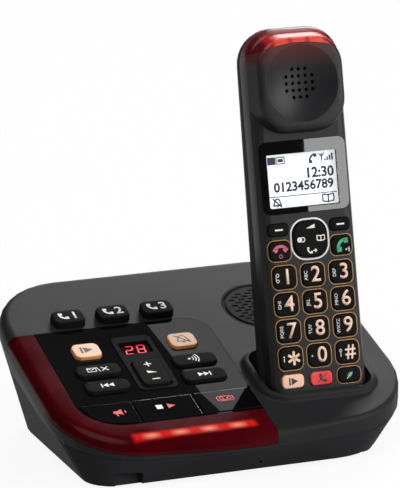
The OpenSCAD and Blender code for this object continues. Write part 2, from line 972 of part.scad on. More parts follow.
module base_circuit_board() {
    led_count = 4;
    led_w = 4.4;
    led_l = 3;
    led_h = 2;
    color(board_green)
        on_deck() {
            translate([0, 0, board_top - board_t])
                linear_extrude(board_t)
                    difference() {
                        union() {
                            outline(board_left, board_front, board_right, board_back, panel_front_r, 0, board_r, board_r);
                            outline(led_x0, led_board_s, led_x1, board_front + cut_over, board_r, board_r, 0, 0);
                        }
                        for (p = base_screw_places)
                            translate([p.x, p.y / cos(deck_slope)])
                                circle(r = post_r + post_room);
                    }
            for (i = [0 : led_count - 1])
                translate([
                    led_x0 + (led_x1 - led_x0) * (i + 0.5) / led_count, led_board_s + led_l,
                    board_top + led_h / 2 - sliver
                ])
                    cube([led_w, led_l, led_h], center = true);
        }
}

module base_key_mat() {
    mat_edge = 1.4;
    post_gap = 0.5;
    color("#8a8a86")
        on_deck()
            translate([0, 0, board_top])
                linear_extrude(mat_t)
                    difference() {
                        outline(
                            board_left + mat_edge, board_front + mat_edge,
                            board_right - mat_edge, board_back - mat_edge,
                            panel_front_r, 0, board_r, board_r
                        );
                        translate([counter_x, counter_s])
                            round_rect(counter_w + 2 * run_gap, counter_l + 2 * run_gap, counter_r);
                        for (p = panel_posts)
                            translate(p)
                                circle(r = panel_post_r + post_gap);
                        for (p = base_screw_places)
                            translate([p.x, p.y / cos(deck_slope)])
                                circle(r = post_r + post_room + mat_edge);
                    }
}

module base_screws() {
    color(steel)
        for (p = base_screw_places)
            translate([p.x, p.y, head_seat_h])
                screw(screw_top_h - head_seat_h);
}

// A screw with a cross recess: head below z = 0, shank above
module screw(shank_l) {
    cross_l = 3.2;
    cross_w = 0.8;
    cross_depth = 1;
    translate([0, 0, -screw_head_h])
        difference() {
            cylinder(d = screw_head_dia, h = screw_head_h);
            for (a = [0, 90])
                rotate(a)
                    cube([cross_l, cross_w, 2 * cross_depth], center = true);
        }
    cylinder(d = screw_dia, h = shank_l);
}

module base_feet() {
    color("#111112")
        for (p = foot_places)
            translate([p.x, p.y, 0])
                rotate_extrude()
                    polygon([
                        [0, 0], [foot_dia / 2 - foot_edge, 0], [foot_dia / 2, foot_edge],
                        [foot_dia / 2, foot_h + foot_recess], [0, foot_h + foot_recess]
                    ]);
}

module line_socket() {
    color("#19191a")
        translate([line_x, socket_back_y, socket_low_h])
            difference() {
                translate([-line_w / 2, -line_depth, 0])
                    cube([line_w, line_depth, line_h]);
                translate([-line_hole_w / 2, -line_hole_depth, (line_h - line_hole_h) / 2])
                    cube([line_hole_w, line_hole_depth + cut_over, line_hole_h]);
                translate([-latch_w / 2, -line_hole_depth, (line_h - line_hole_h) / 2 - latch_h])
                    cube([latch_w, line_hole_depth + cut_over, line_hole_h]);
            }
}

module power_socket() {
    color("#19191a")
        translate([power_x, socket_back_y, socket_low_h]) {
            difference() {
                translate([-power_w / 2, -power_depth, 0])
                    cube([power_w, power_depth, power_h]);
                translate([0, cut_over, power_h / 2])
                    rotate([90, 0, 0])
                        cylinder(d = power_bore, h = power_bore_depth + cut_over);
            }
            translate([0, -power_pin_sink, power_h / 2])
                rotate([90, 0, 0])
                    cylinder(d = power_pin, h = power_bore_depth);
        }
}

module charge_contacts() {
    spring_t = 0.8;
    spring_step = 1;
    foot_l = 8;
    color(steel)
        in_handset()
            for (x = [-1, 1])
                translate([x * contact_x - contact_w / 2, contact_y - contact_t / 2, 0]) {
                    translate([0, 0, -run_gap - well_wall - spring_t])
                        cube([contact_w, foot_l, spring_t]);
                    translate([0, spring_step, -run_gap - well_wall - spring_t])
                        cube([contact_w, spring_t, well_wall + spring_t]);
                    translate([0, contact_t - spring_step - spring_t, -run_gap - well_wall - spring_t])
                        cube([contact_w, spring_t, well_wall + spring_t]);
                    translate([0, spring_step, -run_gap - spring_t])
                        cube([contact_w, contact_t - 2 * spring_step, spring_t]);
                }
}

// A key in the deck: soft cap, wider flange under the deck and a stem to the mat
module deck_key(w, l, proud) {
    translate([0, 0, proud])
        soft_pad(w, l, key_corner_r, proud - flange_top + sliver, cap_edge_r, cap_fn, cap_steps);
    translate([0, 0, flange_top - flange_t])
        linear_extrude(flange_t)
            round_rect(w + 2 * flange_w, l + 2 * flange_w, key_corner_r);
    translate([0, 0, stem_low])
        linear_extrude(stem_l + sliver)
            round_rect(w / 2, l / 2, stem_r);
}

module memory_key(i) {
    color(key_black)
        on_deck(memory_x + i * memory_pitch, memory_s)
            deck_key(memory_w, memory_l, memory_proud);
}

module round_key(x) {
    color(peach)
        on_deck(x, round_key_s)
            deck_key(round_key_w, round_key_l, key_proud);
}

module bar_key(x, row) {
    color(key_black)
        on_deck(x, bar_key_s - row * bar_key_pitch)
            deck_key(bar_key_w, bar_key_l, key_proud);
}

// A wide front key, flush with the panel
module front_key(x0, x1, corner_r) {
    front_proud = 0.4;
    front_flange = 0.4;
    stem_inset = 3;
    color(gloss_black)
        on_deck() {
            translate([0, 0, flange_top - flange_t])
                linear_extrude(front_proud - flange_top + flange_t)
                    front_key_outline(x0, x1, corner_r, 0);
            translate([0, 0, flange_top - flange_t])
                linear_extrude(flange_t)
                    intersection() {
                        front_key_outline(x0, x1, corner_r, front_flange);
                        panel_outline(-front_key_edge / 2);
                    }
            translate([0, 0, stem_low])
                linear_extrude(stem_l + sliver)
                    translate([(x0 + x1) / 2, (front_key_s0 + front_key_s1) / 2])
                        square([(x1 - x0) / 2, front_key_s1 - front_key_s0 - 2 * stem_inset], center = true);
        }
}

module volume_rocker() {
    rocker_crown = 1.6;
    pivot_r = 1.2;
    pivot_depth = 3;
    pivot_inset = 1;
    skirt_depth = 2.4;
    color(key_black)
        on_deck(counter_x, rocker_s) {
            translate([0, 0, rocker_crown])
                soft_pad(rocker_w, rocker_l, key_corner_r, rocker_crown + skirt_depth, cap_edge_r, cap_fn, cap_steps);
            translate([-rocker_w / 2 + pivot_inset, 0, -pivot_depth])
                rotate([0, 90, 0])
                    cylinder(r = pivot_r, h = rocker_w - 2 * pivot_inset);
        }
}

// Outer form of the handset, thinner towards the head, drawn in by an even inset
module handset_body(inset) {
    low_z = handset_low_r;
    top_z = handset_l - handset_top_r;
    hull()
        for (x = [-1, 1]) {
            translate([x * (handset_w / 2 - handset_low_r), inset, low_z])
                handset_corner(handset_low_r - inset, handset_t - 2 * inset, inset);
            translate([x * (handset_w / 2 - handset_top_r), inset, top_z])
                handset_corner(handset_top_r - inset, handset_top_t - 2 * inset, inset);
        }
}

// One corner of the handset: a disc with its front and back edges rounded
module handset_corner(r, t, inset) {
    front_edge = handset_front_edge - inset;
    back_edge = handset_back_edge - inset;
    segments = inset > 0 ? inner_fn : blend_fn;
    edge_steps = inset > 0 ? inner_steps : blend_steps;
    rotate([-90, 0, 0])
        rotate_extrude($fn = segments)
            polygon(concat(
                [[0, 0]],
                [for (i = [0 : edge_steps])
                    let (a = 90 * i / edge_steps)
                        [r - front_edge + front_edge * sin(a), front_edge - front_edge * cos(a)]],
                [for (i = [0 : edge_steps])
                    let (a = 90 * i / edge_steps)
                        [r - back_edge + back_edge * cos(a), t - back_edge + back_edge * sin(a)]],
                [[0, t]]
            ));
}

// The raised earpiece pad, drawn in by an even inset
module ear_pad(inset) {
    pad_foot_r = 16;
    pad_draft = 2;
    pad_edge = 2.8;
    foot_sink = 1;
    segments = inset > 0 ? inner_fn : blend_fn;
    edge_steps = inset > 0 ? inner_steps : blend_steps;
    on_face(0, ear_z)
        hull() {
            translate([0, 0, -handset_wall - foot_sink])
                linear_extrude(sliver)
                    round_rect(pad_w - 2 * inset, pad_l - 2 * inset, pad_foot_r - inset, $fn = segments);
            translate([0, 0, pad_h - inset])
                soft_pad(
                    pad_w - 2 * (inset + pad_draft), pad_l - 2 * (inset + pad_draft),
                    pad_foot_r - inset - pad_draft, pad_h / 2, pad_edge - inset, segments, edge_steps
                );
        }
}

dish_r = ((dish_dia / 2) ^ 2 + dish_depth ^ 2) / (2 * dish_depth);
dish_y = dish_depth - pad_h - dish_r;
ear_rows = [3, 5, 5, 5, 3];

// Ball that hollows out the earpiece dish, grown by a wall
module dish_ball(grow) {
    translate([0, dish_y, ear_z])
        sphere(r = dish_r + grow, $fn = 96);
}

// Everything above the arched lower edge of the top light, in front of the parting line
module top_light_zone(grow) {
    difference() {
        translate([-reach / 2, -reach / 2, ear_z])
            cube([reach, reach / 2 + parting - seam_gap / 2 + grow, reach]);
        translate([0, reach / 2, light_z - light_arch_r])
            rotate([90, 0, 0])
                cylinder(r = light_arch_r - grow, h = reach, $fn = 96);
    }
}

// Hole of one handset key
module key_hole(x, z, w, l, gap, r) {
    on_face(x, z)
        translate([0, 0, -handset_wall - cut_over])
            linear_extrude(handset_wall + 2 * cut_over)
                round_rect(w + 2 * gap, l + 2 * gap, r + gap);
}

face_posts = [[-15, 8.2], [15, 8.2], [-18.2, 128], [18.2, 128]];
face_post_r = 2;
pocket_half_w = talk_x + talk_w / 2 + dial_flange_w + run_gap;
pocket_low = 10.5;
pocket_high = 90;

module handset_front_case() {
    color(charcoal)
        in_handset()
            difference() {
                union() {
                    difference() {
                        intersection() {
                            union() {
                                handset_body(0);
                                ear_pad(0);
                            }
                            translate([-reach / 2, -reach, -reach / 2])
                                cube([reach, reach + parting - seam_gap / 2, reach]);
                        }
                        handset_body(handset_wall);
                        difference() {
                            ear_pad(handset_wall);
                            dish_ball(handset_wall);
                        }
                    }
                    for (p = face_posts)
                        on_face(p.x, p.y)
                            translate([0, 0, -dial_board_y])
                                cylinder(r = face_post_r, h = dial_board_y - handset_wall / 2);
                    for (p = rear_screws)
                        on_face(p.x, p.y)
                            translate([0, 0, seam_gap - bay_floor_y])
                                cylinder(r = rear_post_r, h = bay_floor_y - seam_gap + pad_h - handset_wall / 2);
                }
                for (p = rear_screws)
                    on_face(p.x, p.y)
                        translate([0, 0, seam_gap - bay_floor_y - cut_over])
                            cylinder(d = screw_hole, h = rear_shank_l - rear_seat + 2 * cut_over);
                dish_ball(0);
                top_light_zone(seam_gap);
                keypad_openings();
                display_openings();
                earpiece_holes();
                translate([-pocket_half_w, handset_wall, pocket_low])
                    cube([2 * pocket_half_w, parting, pocket_high - pocket_low]);
            }
}

// Holes for all the keys of the handset
module keypad_openings() {
    for (row = [0 : 3])
        for (col = [-1 : 1])
            key_hole(col * dial_pitch_x, dial_z + row * dial_pitch_z, dial_w, dial_l, run_gap, dial_corner_r);
    for (col = [-1 : 1])
        key_hole(col * dial_pitch_x, short_z, dial_w, short_l, run_gap, short_corner_r);
    for (x = [-1, 1]) {
        key_hole(x * talk_x, talk_z, talk_w, talk_l, run_gap, dial_corner_r);
        key_hole(x * talk_x, soft_z, talk_w, soft_l, run_gap, short_corner_r);
    }
    key_hole(0, nav_z, nav_w, nav_w, tilt_gap, nav_corner_r);
}

nav_corner_r = 6;
window_r = 3.5;
lcd_r = 1;

// Seat of the window and the hole in front of the picture
module display_openings() {
    picture_edge = 0.5;
    on_face(0, window_z)
        translate([0, 0, -window_t])
            linear_extrude(window_t + cut_over)
                round_rect(window_w + 2 * seam_gap, window_l + 2 * seam_gap, window_r + seam_gap);
    on_face(0, lcd_z)
        translate([0, 0, -handset_wall - cut_over])
            linear_extrude(handset_wall + 2 * cut_over)
                round_rect(lcd_w + 2 * picture_edge, lcd_l + 2 * picture_edge, lcd_r);
}

// The 21 holes in the dish
module earpiece_holes() {
    for (j = [0 : len(ear_rows) - 1])
        for (i = [0 : ear_rows[j] - 1])
            translate([
                (i - (ear_rows[j] - 1) / 2) * ear_pitch, 0,
                ear_z + (j - (len(ear_rows) - 1) / 2) * ear_pitch
            ])
                rotate([90, 0, 0])
                    translate([0, 0, -handset_wall - cut_over])
                        cylinder(d = ear_hole, h = reach / 8);
}

// Battery bay and cover
bay_wall = 1.2;
bay_gap = 0.6;
bay_half_w = cell_dia + bay_gap;
bay_half_l = cell_l / 2 + 2.4;
bay_floor_y = dial_board_y + dial_board_t + run_gap;
cell_y = bay_floor_y + bay_wall + run_gap + cell_dia / 2;

cover_r = 4;

// The battery cover's share of the back wall, grown by an even margin
module cover_zone(grow) {
    on_face(0, cell_z)
        translate([0, 0, -reach])
            linear_extrude(reach - handset_t / 2)
                round_rect(cover_w + 2 * grow, cover_l + 2 * grow, cover_r);
}

rear_screw_x = 10;
rear_screw_drop = 16;
rear_screws = [for (side = [-1, 1]) [side * rear_screw_x, ear_z - rear_screw_drop]];
rear_boss_r = 3.4;
rear_seat = 4;
rear_post_r = 2.2;
rear_shank_l = 10;

module handset_rear_case() {
    color(dark_case)
        in_handset()
            difference() {
                union() {
                    difference() {
                        intersection() {
                            handset_body(0);
                            translate([-reach / 2, parting + seam_gap / 2, -reach / 2])
                                cube(reach);
                        }
                        handset_body(handset_wall);
                        cover_zone(run_gap);
                    }
                    translate([-bay_half_w - bay_wall, bay_floor_y, cell_z - bay_half_l - bay_wall])
                        cube([2 * (bay_half_w + bay_wall), bay_wall, 2 * (bay_half_l + bay_wall)]);
                    difference() {
                        intersection() {
                            handset_body(handset_wall / 2);
                            union() {
                                bay_sides();
                                for (p = rear_screws)
                                    translate([p.x, bay_floor_y, p.y])
                                        rotate([-90, 0, 0])
                                            cylinder(r = rear_boss_r, h = reach);
                            }
                        }
                        difference() {
                            cover_zone(run_gap);
                            handset_body(handset_wall + run_gap);
                        }
                    }
                }
                for (p = rear_screws)
                    translate([p.x, bay_floor_y - cut_over, p.y])
                        rotate([-90, 0, 0]) {
                            cylinder(d = screw_hole, h = reach);
                            translate([0, 0, cut_over + rear_seat])
                                cylinder(d = head_hole_dia, h = reach);
                        }
                charge_plate_slots();
            }
}

// Upright walls of the battery bay, with a frame that backs the cover's edge
module bay_sides() {
    frame_y = handset_t - handset_wall - run_gap - bay_wall;
    difference() {
        union() {
            translate([-bay_half_w - bay_wall, bay_floor_y, cell_z - bay_half_l - bay_wall])
                cube([2 * (bay_half_w + bay_wall), reach, 2 * (bay_half_l + bay_wall)]);
            translate([-cover_w / 2 - bay_wall, frame_y, cell_z - cover_l / 2 - bay_wall])
                cube([cover_w + 2 * bay_wall, reach, cover_l + 2 * bay_wall]);
        }
        translate([-bay_half_w, bay_floor_y - cut_over, cell_z - bay_half_l])
            cube([2 * bay_half_w, reach, 2 * bay_half_l]);
    }
}

module battery_cover() {
    color(dark_case)
        in_handset()
            difference() {
                intersection() {
                    handset_body(0);
                    cover_zone(0);
                }
                handset_body(handset_wall);
                finger_notch();
            }
}

// Shallow thumb recess near the top of the cover
module finger_notch() {
    thumb_r = 26;
    thumb_depth = 0.9;
    thumb_drop = 9;
    translate([0, handset_t + thumb_r - thumb_depth, cell_z + cover_l / 2 - thumb_drop])
        sphere(r = thumb_r);
}

module handset_light_lens() {
    color(deep_red)
        in_handset()
            difference() {
                intersection() {
                    union() {
                        handset_body(0);
                        ear_pad(0);
                    }
                    top_light_zone(0);
                }
                handset_body(handset_wall);
                ear_pad(handset_wall);
                dish_ball(0);
            }
}

module display_window() {
    color("#101014")
        in_handset()
            on_face(0, window_z)
                translate([0, 0, -window_t])
                    linear_extrude(window_t)
                        round_rect(window_w, window_l, window_r);
}

module lcd_module() {
    lcd_sink = 2.9;
    lcd_frame = 1;
    color("#dfe6ea")
        in_handset()
            on_face(0, lcd_z)
                translate([0, 0, -dial_board_y])
                    linear_extrude(dial_board_y - lcd_sink)
                        round_rect(lcd_w + 2 * lcd_frame, lcd_l + 2 * lcd_frame, lcd_r);
}

handset_board_low = 5.5;
handset_board_high = 131;
handset_board_half_w = 20.4;
handset_board_r = 3;

module handset_circuit_board() {
    color(board_green)
        in_handset()
            translate([0, dial_board_y + dial_board_t, 0])
                on_face(0, 0)
                    linear_extrude(dial_board_t)
                        outline(
                            -handset_board_half_w, handset_board_low, handset_board_half_w, handset_board_high,
                            handset_board_r, handset_board_r, handset_board_r, handset_board_r
                        );
}

module handset_key_mat() {
    mat_low = 11.2;
    mat_high = 89;
    mat_half_w = 19.8;
    mat_r = 2;
    color("#8a8a86")
        in_handset()
            translate([0, dial_board_y, 0])
                on_face(0, 0)
                    linear_extrude(mat_t)
                        outline(-mat_half_w, mat_low, mat_half_w, mat_high, mat_r, mat_r, mat_r, mat_r);
}

module earpiece_receiver() {
    receiver_r = 14;
    receiver_t = 6;
    nose_r = 6;
    edge = 1;
    front_y = dish_depth - pad_h + handset_wall + run_gap;
    color("#55585c")
        in_handset()
            translate([0, front_y, ear_z])
                rotate([-90, 0, 0])
                    rotate_extrude()
                        polygon([
                            [0, 0], [nose_r, 0], [receiver_r, edge], [receiver_r, receiver_t - edge],
                            [receiver_r - 2 * edge, receiver_t], [0, receiver_t]
                        ]);
}

module battery_cells() {
    nub_r = 1.9;
    nub_l = 1;
    color("#5b7a58")
        in_handset()
            for (side = [-1, 1])
                translate([side * (cell_dia / 2 + seam_gap), cell_y, cell_z])
                    rotate([side > 0 ? 0 : 180, 0, 0])
                        translate([0, 0, -cell_l / 2]) {
                            cylinder(d = cell_dia, h = cell_l - nub_l);
                            cylinder(r = nub_r, h = cell_l);
                        }
}

plate_x = contact_x;
plate_back = 3;
plate_y = contact_y + plate_back;
plate_w = 7;
plate_depth = 8;

// Slots in the handset's foot for its charging plates
module charge_plate_slots() {
    for (x = [-1, 1])
        translate([x * plate_x, plate_y, 0])
            cube([plate_w + 2 * seam_gap, plate_depth + 2 * seam_gap, 4 * handset_wall], center = true);
}

module handset_charge_plates() {
    color(steel)
        in_handset()
            for (x = [-1, 1])
                translate([x * plate_x, plate_y, handset_wall / 2 + seam_gap])
                    cube([plate_w, plate_depth, handset_wall], center = true);
}

module handset_screws() {
    color(steel)
        in_handset()
            for (p = rear_screws)
                translate([p.x, bay_floor_y + rear_seat, p.y])
                    rotate([90, 0, 0])
                        screw(rear_shank_l);
}

// A key in the handset's face: soft cap, flange behind the face and a stem to the mat
module face_key(x, z, w, l, r) {
    in_handset()
        on_face(x, z) {
            translate([0, 0, dial_proud])
                soft_pad(w, l, r, dial_proud + dial_flange_y + sliver, cap_edge_r, cap_fn, cap_steps);
            translate([0, 0, -dial_flange_y - dial_flange_t])
                linear_extrude(dial_flange_t)
                    round_rect(w + 2 * dial_flange_w, l + 2 * dial_flange_l, r);
            translate([0, 0, -dial_stem_y])
                linear_extrude(dial_stem_l + sliver)
                    round_rect(w / 2, l / 2, stem_r);
        }
}

// A dial key by its column and its row from below
module dial_key(col, row) {
    color(key_black)
        face_key(col * dial_pitch_x, dial_z + row * dial_pitch_z, dial_w, dial_l, dial_corner_r);
}

// A key of the short bottom row
module short_key(col, paint) {
    color(paint)
        face_key(col * dial_pitch_x, short_z, dial_w, short_l, short_corner_r);
}

module navigator_key() {
    nav_proud = 1.6;
    nav_skirt = 3;
    pivot_depth = 4;
    pivot_r = 1.4;
    pivot_half_l = 6;
    color(key_black)
        in_handset()
            on_face(0, nav_z) {
                translate([0, 0, nav_proud])
                    soft_pad(nav_w, nav_w, nav_corner_r, nav_proud + nav_skirt, cap_edge_r, cap_fn, cap_steps);
                translate([-pivot_half_l, 0, -pivot_depth])
                    rotate([0, 90, 0])
                        cylinder(r = pivot_r, h = 2 * pivot_half_l);
            }
}

base_lower_case();
base_upper_case();
control_panel();
counter_bezel();
counter_display();
ringer_light_lens();
speaker_grille();
base_speaker();
base_circuit_board();
base_key_mat();
base_screws();
base_feet();
line_socket();
power_socket();
charge_contacts();
memory_key(-1);  // memory_key_1
memory_key(0);  // memory_key_2
memory_key(1);  // memory_key_3
round_key(key_left_x);  // slow_key
round_key(key_right_x);  // ringer_off_key
bar_key(key_left_x, 0);  // erase_key
bar_key(key_left_x, 1);  // repeat_key
bar_key(key_right_x, 0);  // locator_key
bar_key(key_right_x, 1);  // skip_key
volume_rocker();
front_key(greeting_x[0], greeting_x[1], greeting_r);  // greeting_key
front_key(play_x[0], play_x[1], 0);  // play_stop_key
front_key(answer_x[0], answer_x[1], 0);  // answer_on_key
handset_front_case();
handset_rear_case();
handset_light_lens();
display_window();
lcd_module();
handset_circuit_board();
handset_key_mat();
earpiece_receiver();
battery_cells();
handset_charge_plates();
handset_screws();
battery_cover();
dial_key(-1, 3);  // dial_key_1
dial_key(0, 3);  // dial_key_2
dial_key(1, 3);  // dial_key_3
dial_key(-1, 2);  // dial_key_4
dial_key(0, 2);  // dial_key_5
dial_key(1, 2);  // dial_key_6
dial_key(-1, 1);  // dial_key_7
dial_key(0, 1);  // dial_key_8
dial_key(1, 1);  // dial_key_9
dial_key(-1, 0);  // dial_key_star
dial_key(0, 0);  // dial_key_0
dial_key(1, 0);  // dial_key_hash
short_key(-1, peach);  // handset_slow_key
short_key(0, "#ef3e3e");  // call_block_key
short_key(1, key_black);  // eco_key
union() {  // talk_key
    color(key_black)
        face_key(talk_x, talk_z, talk_w, talk_l, dial_corner_r);
}
union() {  // off_key
    color(key_black)
        face_key(-talk_x, talk_z, talk_w, talk_l, dial_corner_r);
}
union() {  // soft_key_left
    color(key_black)
        face_key(-talk_x, soft_z, talk_w, soft_l, short_corner_r);
}
union() {  // soft_key_right
    color(key_black)
        face_key(talk_x, soft_z, talk_w, soft_l, short_corner_r);
}
navigator_key();
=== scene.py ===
# %% [markdown]
# # A cordless telephone on its answering base
#
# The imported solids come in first. They are the frame: each one already stands
# where it belongs, in metres, so nothing is fitted by eye. What follows dresses
# them: a finish for every solid, then the printed marks, key rings, display
# pages and lamps, which are too thin to be solids.

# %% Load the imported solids
import json
import math

import bmesh
import bpy
from mathutils import Matrix, Vector

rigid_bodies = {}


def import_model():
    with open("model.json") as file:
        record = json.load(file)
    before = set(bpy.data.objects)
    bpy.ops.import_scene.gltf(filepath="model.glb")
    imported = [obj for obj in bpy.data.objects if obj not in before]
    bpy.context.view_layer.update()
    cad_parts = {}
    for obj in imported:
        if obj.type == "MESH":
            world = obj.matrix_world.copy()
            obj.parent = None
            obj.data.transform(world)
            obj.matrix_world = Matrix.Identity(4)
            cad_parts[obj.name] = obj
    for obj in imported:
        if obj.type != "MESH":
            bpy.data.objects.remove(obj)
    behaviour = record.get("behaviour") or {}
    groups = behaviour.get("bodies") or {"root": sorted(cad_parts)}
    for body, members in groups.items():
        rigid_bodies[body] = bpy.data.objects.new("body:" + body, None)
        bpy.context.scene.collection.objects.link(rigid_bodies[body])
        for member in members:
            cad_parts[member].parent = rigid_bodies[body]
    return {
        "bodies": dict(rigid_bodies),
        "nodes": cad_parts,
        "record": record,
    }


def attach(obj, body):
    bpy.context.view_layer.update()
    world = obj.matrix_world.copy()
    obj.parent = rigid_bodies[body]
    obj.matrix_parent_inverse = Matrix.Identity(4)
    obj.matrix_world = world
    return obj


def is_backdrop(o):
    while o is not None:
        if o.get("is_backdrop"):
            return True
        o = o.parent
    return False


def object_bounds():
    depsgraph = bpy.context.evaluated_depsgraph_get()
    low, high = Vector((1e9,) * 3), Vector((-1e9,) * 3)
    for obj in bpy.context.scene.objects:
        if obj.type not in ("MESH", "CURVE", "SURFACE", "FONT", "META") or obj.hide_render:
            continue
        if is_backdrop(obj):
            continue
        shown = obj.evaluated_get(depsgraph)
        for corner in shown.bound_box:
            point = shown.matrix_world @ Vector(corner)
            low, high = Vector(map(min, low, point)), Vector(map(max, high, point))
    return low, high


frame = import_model()
nodes = frame["nodes"]
kept = set(nodes.values()) | set(frame["bodies"].values())
for leftover in [thing for thing in bpy.data.objects if thing not in kept]:
    bpy.data.objects.remove(leftover)
cad_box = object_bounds()
bpy.ops.object.select_all(action="DESELECT")
print(len(nodes), "solids in a box", [round(v, 4) for end in cad_box for v in end])

# %% [markdown]
# ## The camera
#
# The picture was taken with a long lens from the left, a little above. A camera
# can be turned by hand until the outlines match; here its angles come from the
# known sizes of the part, so the edges of the deck and the handset fall where
# the picture has them. The long lens keeps the upright lines nearly parallel.

# %% Place the camera
image_size = (400, 488)
focal_pixels = 3500.0
view_turn = math.radians(-21.5)
view_rise = math.radians(18.5)
view_target = Vector((-0.0012, -0.0025, 0.0))
view_distance = 1.6279
target_row = 434.04

view_back = Vector((math.sin(view_turn) * math.cos(view_rise),
                    -math.cos(view_turn) * math.cos(view_rise),
                    math.sin(view_rise)))
view_right = Vector((math.cos(view_turn), math.sin(view_turn), 0.0))
view_up = view_back.cross(view_right)
eye = view_target + view_back * view_distance
axis = view_up * (target_row - image_size[1] / 2) - view_back * focal_pixels

bpy.ops.object.camera_add(location=eye)
camera = bpy.context.object
camera.name = "picture_camera"
camera.rotation_mode = "QUATERNION"
camera.rotation_quaternion = axis.to_track_quat("-Z", "Y")
camera.data.sensor_width = 36.0
camera.data.lens = camera.data.sensor_width * focal_pixels / image_size[1]
bpy.context.scene.camera = camera
bpy.context.scene.view_settings.view_transform = "Standard"
print("camera at", [round(v, 3) for v in eye], "lens", round(camera.data.lens, 1), "mm")

# %% [markdown]
# ## Two working planes
#
# Every key, mark and lamp lies on one of two slanted planes: the deck of the
# base, or the face of the handset. A point is given by its place across, its
# place up the slope and its height out of the plane. Turning the solids into
# that frame tells where the middle and the top of each key are.

# %% Deck and handset face as turned frames
deck_turn = math.radians(17)
face_turn = math.radians(90 - 13)


def turned(angle):
    return Matrix.Rotation(angle, 3, "X")


def reach_of(node, angle):
    """Lowest and highest corner of a solid, measured in a turned frame."""
    back = turned(angle).transposed()
    points = [back @ v.co for v in nodes[node].data.vertices]
    low = Vector([min(p[i] for p in points) for i in range(3)])
    high = Vector([max(p[i] for p in points) for i in range(3)])
    return low, high


def top_of(node, angle):
    """Middle of a solid's top, and its width and length, in a turned frame."""
    low, high = reach_of(node, angle)
    middle = (low + high) / 2
    return Vector((middle.x, middle.y, high.z)), high - low


deck_normal = turned(deck_turn) @ Vector((0, 0, 1))
face_normal = turned(face_turn) @ Vector((0, 0, 1))
for shown, angle in (("control_panel", deck_turn), ("display_window", face_turn)):
    print(shown, [round(1000 * v, 2) for v in top_of(shown, angle)[0]], "mm")

# %% [markdown]
# ## The floor, the world and the lamps
#
# A studio sweep could be a curved sheet. The lens looks down so steeply that a
# flat floor fills the picture, so a plain pale floor does. Part of its light is
# its own, which keeps the ground white, in reflections too, while a faint shadow
# stays. The soft light that it throws back at the part is dimmer, as if dark
# cloths lay beside it, or the black sides would turn grey. The world is white at
# the horizon and dim above it, so that the polished panel stays black.

# %% Pale floor and dim world
floor_size, floor_drop = 60, 0.00005
own_light = 0.90
seen_tone, thrown_tone = 0.92, 0.28
horizon_low, horizon_high = 0.050, 0.075
horizon_light, air_light = 1.0, 0.06

bpy.ops.mesh.primitive_plane_add(size=floor_size, location=(0, 0, -floor_drop))
floor = bpy.context.object
floor.name = "pale_floor"
floor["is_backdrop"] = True

floor_paint = bpy.data.materials.new("floor_paint")
floor_paint.use_nodes = True
tree = floor_paint.node_tree
tree.nodes.clear()
seen = tree.nodes.new("ShaderNodeLightPath")
shown = seen.outputs["Is Camera Ray"]
for ray in ("Is Transmission Ray", "Is Glossy Ray"):
    either = tree.nodes.new("ShaderNodeMath")
    either.operation = "MAXIMUM"
    tree.links.new(shown, either.inputs[0])
    tree.links.new(seen.outputs[ray], either.inputs[1])
    shown = either.outputs[0]
share = tree.nodes.new("ShaderNodeMath")
share.operation = "MULTIPLY"
share.inputs[1].default_value = own_light
tree.links.new(shown, share.inputs[0])
matt = tree.nodes.new("ShaderNodeBsdfDiffuse")
bounce = tree.nodes.new("ShaderNodeMapRange")
bounce.inputs["To Min"].default_value = seen_tone
bounce.inputs["To Max"].default_value = thrown_tone
tree.links.new(seen.outputs["Is Diffuse Ray"], bounce.inputs["Value"])
tree.links.new(bounce.outputs["Result"], matt.inputs["Color"])
glow = tree.nodes.new("ShaderNodeEmission")
glow.inputs["Color"].default_value = (1, 1, 1, 1)
blend = tree.nodes.new("ShaderNodeMixShader")
tree.links.new(share.outputs[0], blend.inputs[0])
tree.links.new(matt.outputs[0], blend.inputs[1])
tree.links.new(glow.outputs[0], blend.inputs[2])
paper = tree.nodes.new("ShaderNodeOutputMaterial")
tree.links.new(blend.outputs[0], paper.inputs["Surface"])
floor.data.materials.append(floor_paint)

world = bpy.data.worlds.new("studio_air")
bpy.context.scene.world = world
world.use_nodes = True
tree = world.node_tree
sky = tree.nodes["Background"]
where = tree.nodes.new("ShaderNodeTexCoord")
split = tree.nodes.new("ShaderNodeSeparateXYZ")
tree.links.new(where.outputs["Generated"], split.inputs[0])
fade = tree.nodes.new("ShaderNodeMapRange")
for label, number in (("From Min", horizon_low), ("From Max", horizon_high),
                      ("To Min", horizon_light), ("To Max", air_light)):
    fade.inputs[label].default_value = number
tree.links.new(split.outputs["Z"], fade.inputs["Value"])
sky.inputs["Color"].default_value = (1, 1, 1, 1)
tree.links.new(fade.outputs["Result"], sky.inputs["Strength"])
print("floor", floor.name, "and world", world.name)

# %% [markdown]
# The main lamp stands behind the part on the right, so the handset shades the
# front of the cradle. A fill comes from the right in front, a wide soft lamp
# hangs over the deck, and a small box over the head lays the pale band on the
# red cap. That box lights the cap alone, or the panel would mirror it from above.
#
# A polished face shows what stands opposite to it. The hard diagonal on the
# panel and the upright edge on the display window are the borders of two soft
# boxes. Each box is set where the mirrored line of sight ends, with one border
# on the line that the picture shows, so the reflections fall in place by
# themselves and slide as real ones do when the camera moves.

# %% Lamps and soft boxes
def sun_lamp(name, from_where, energy, spread):
    """A distant lamp that shines from a direction, softened by its spread."""
    bpy.ops.object.light_add(type="SUN")
    lamp = bpy.context.object
    lamp.name = name
    lamp.data.energy = energy
    lamp.data.angle = math.radians(spread)
    lamp.rotation_mode = "QUATERNION"
    lamp.rotation_quaternion = Vector(from_where).to_track_quat("Z", "Y")


sun_lamp("key_lamp", (0.45, 0.72, 0.53), 1.7, 24)
sun_lamp("fill_lamp", (0.72, -0.57, 0.40), 1.8, 30)
sun_lamp("deck_lamp", (-0.35, -0.25, 0.90), 1.4, 40)


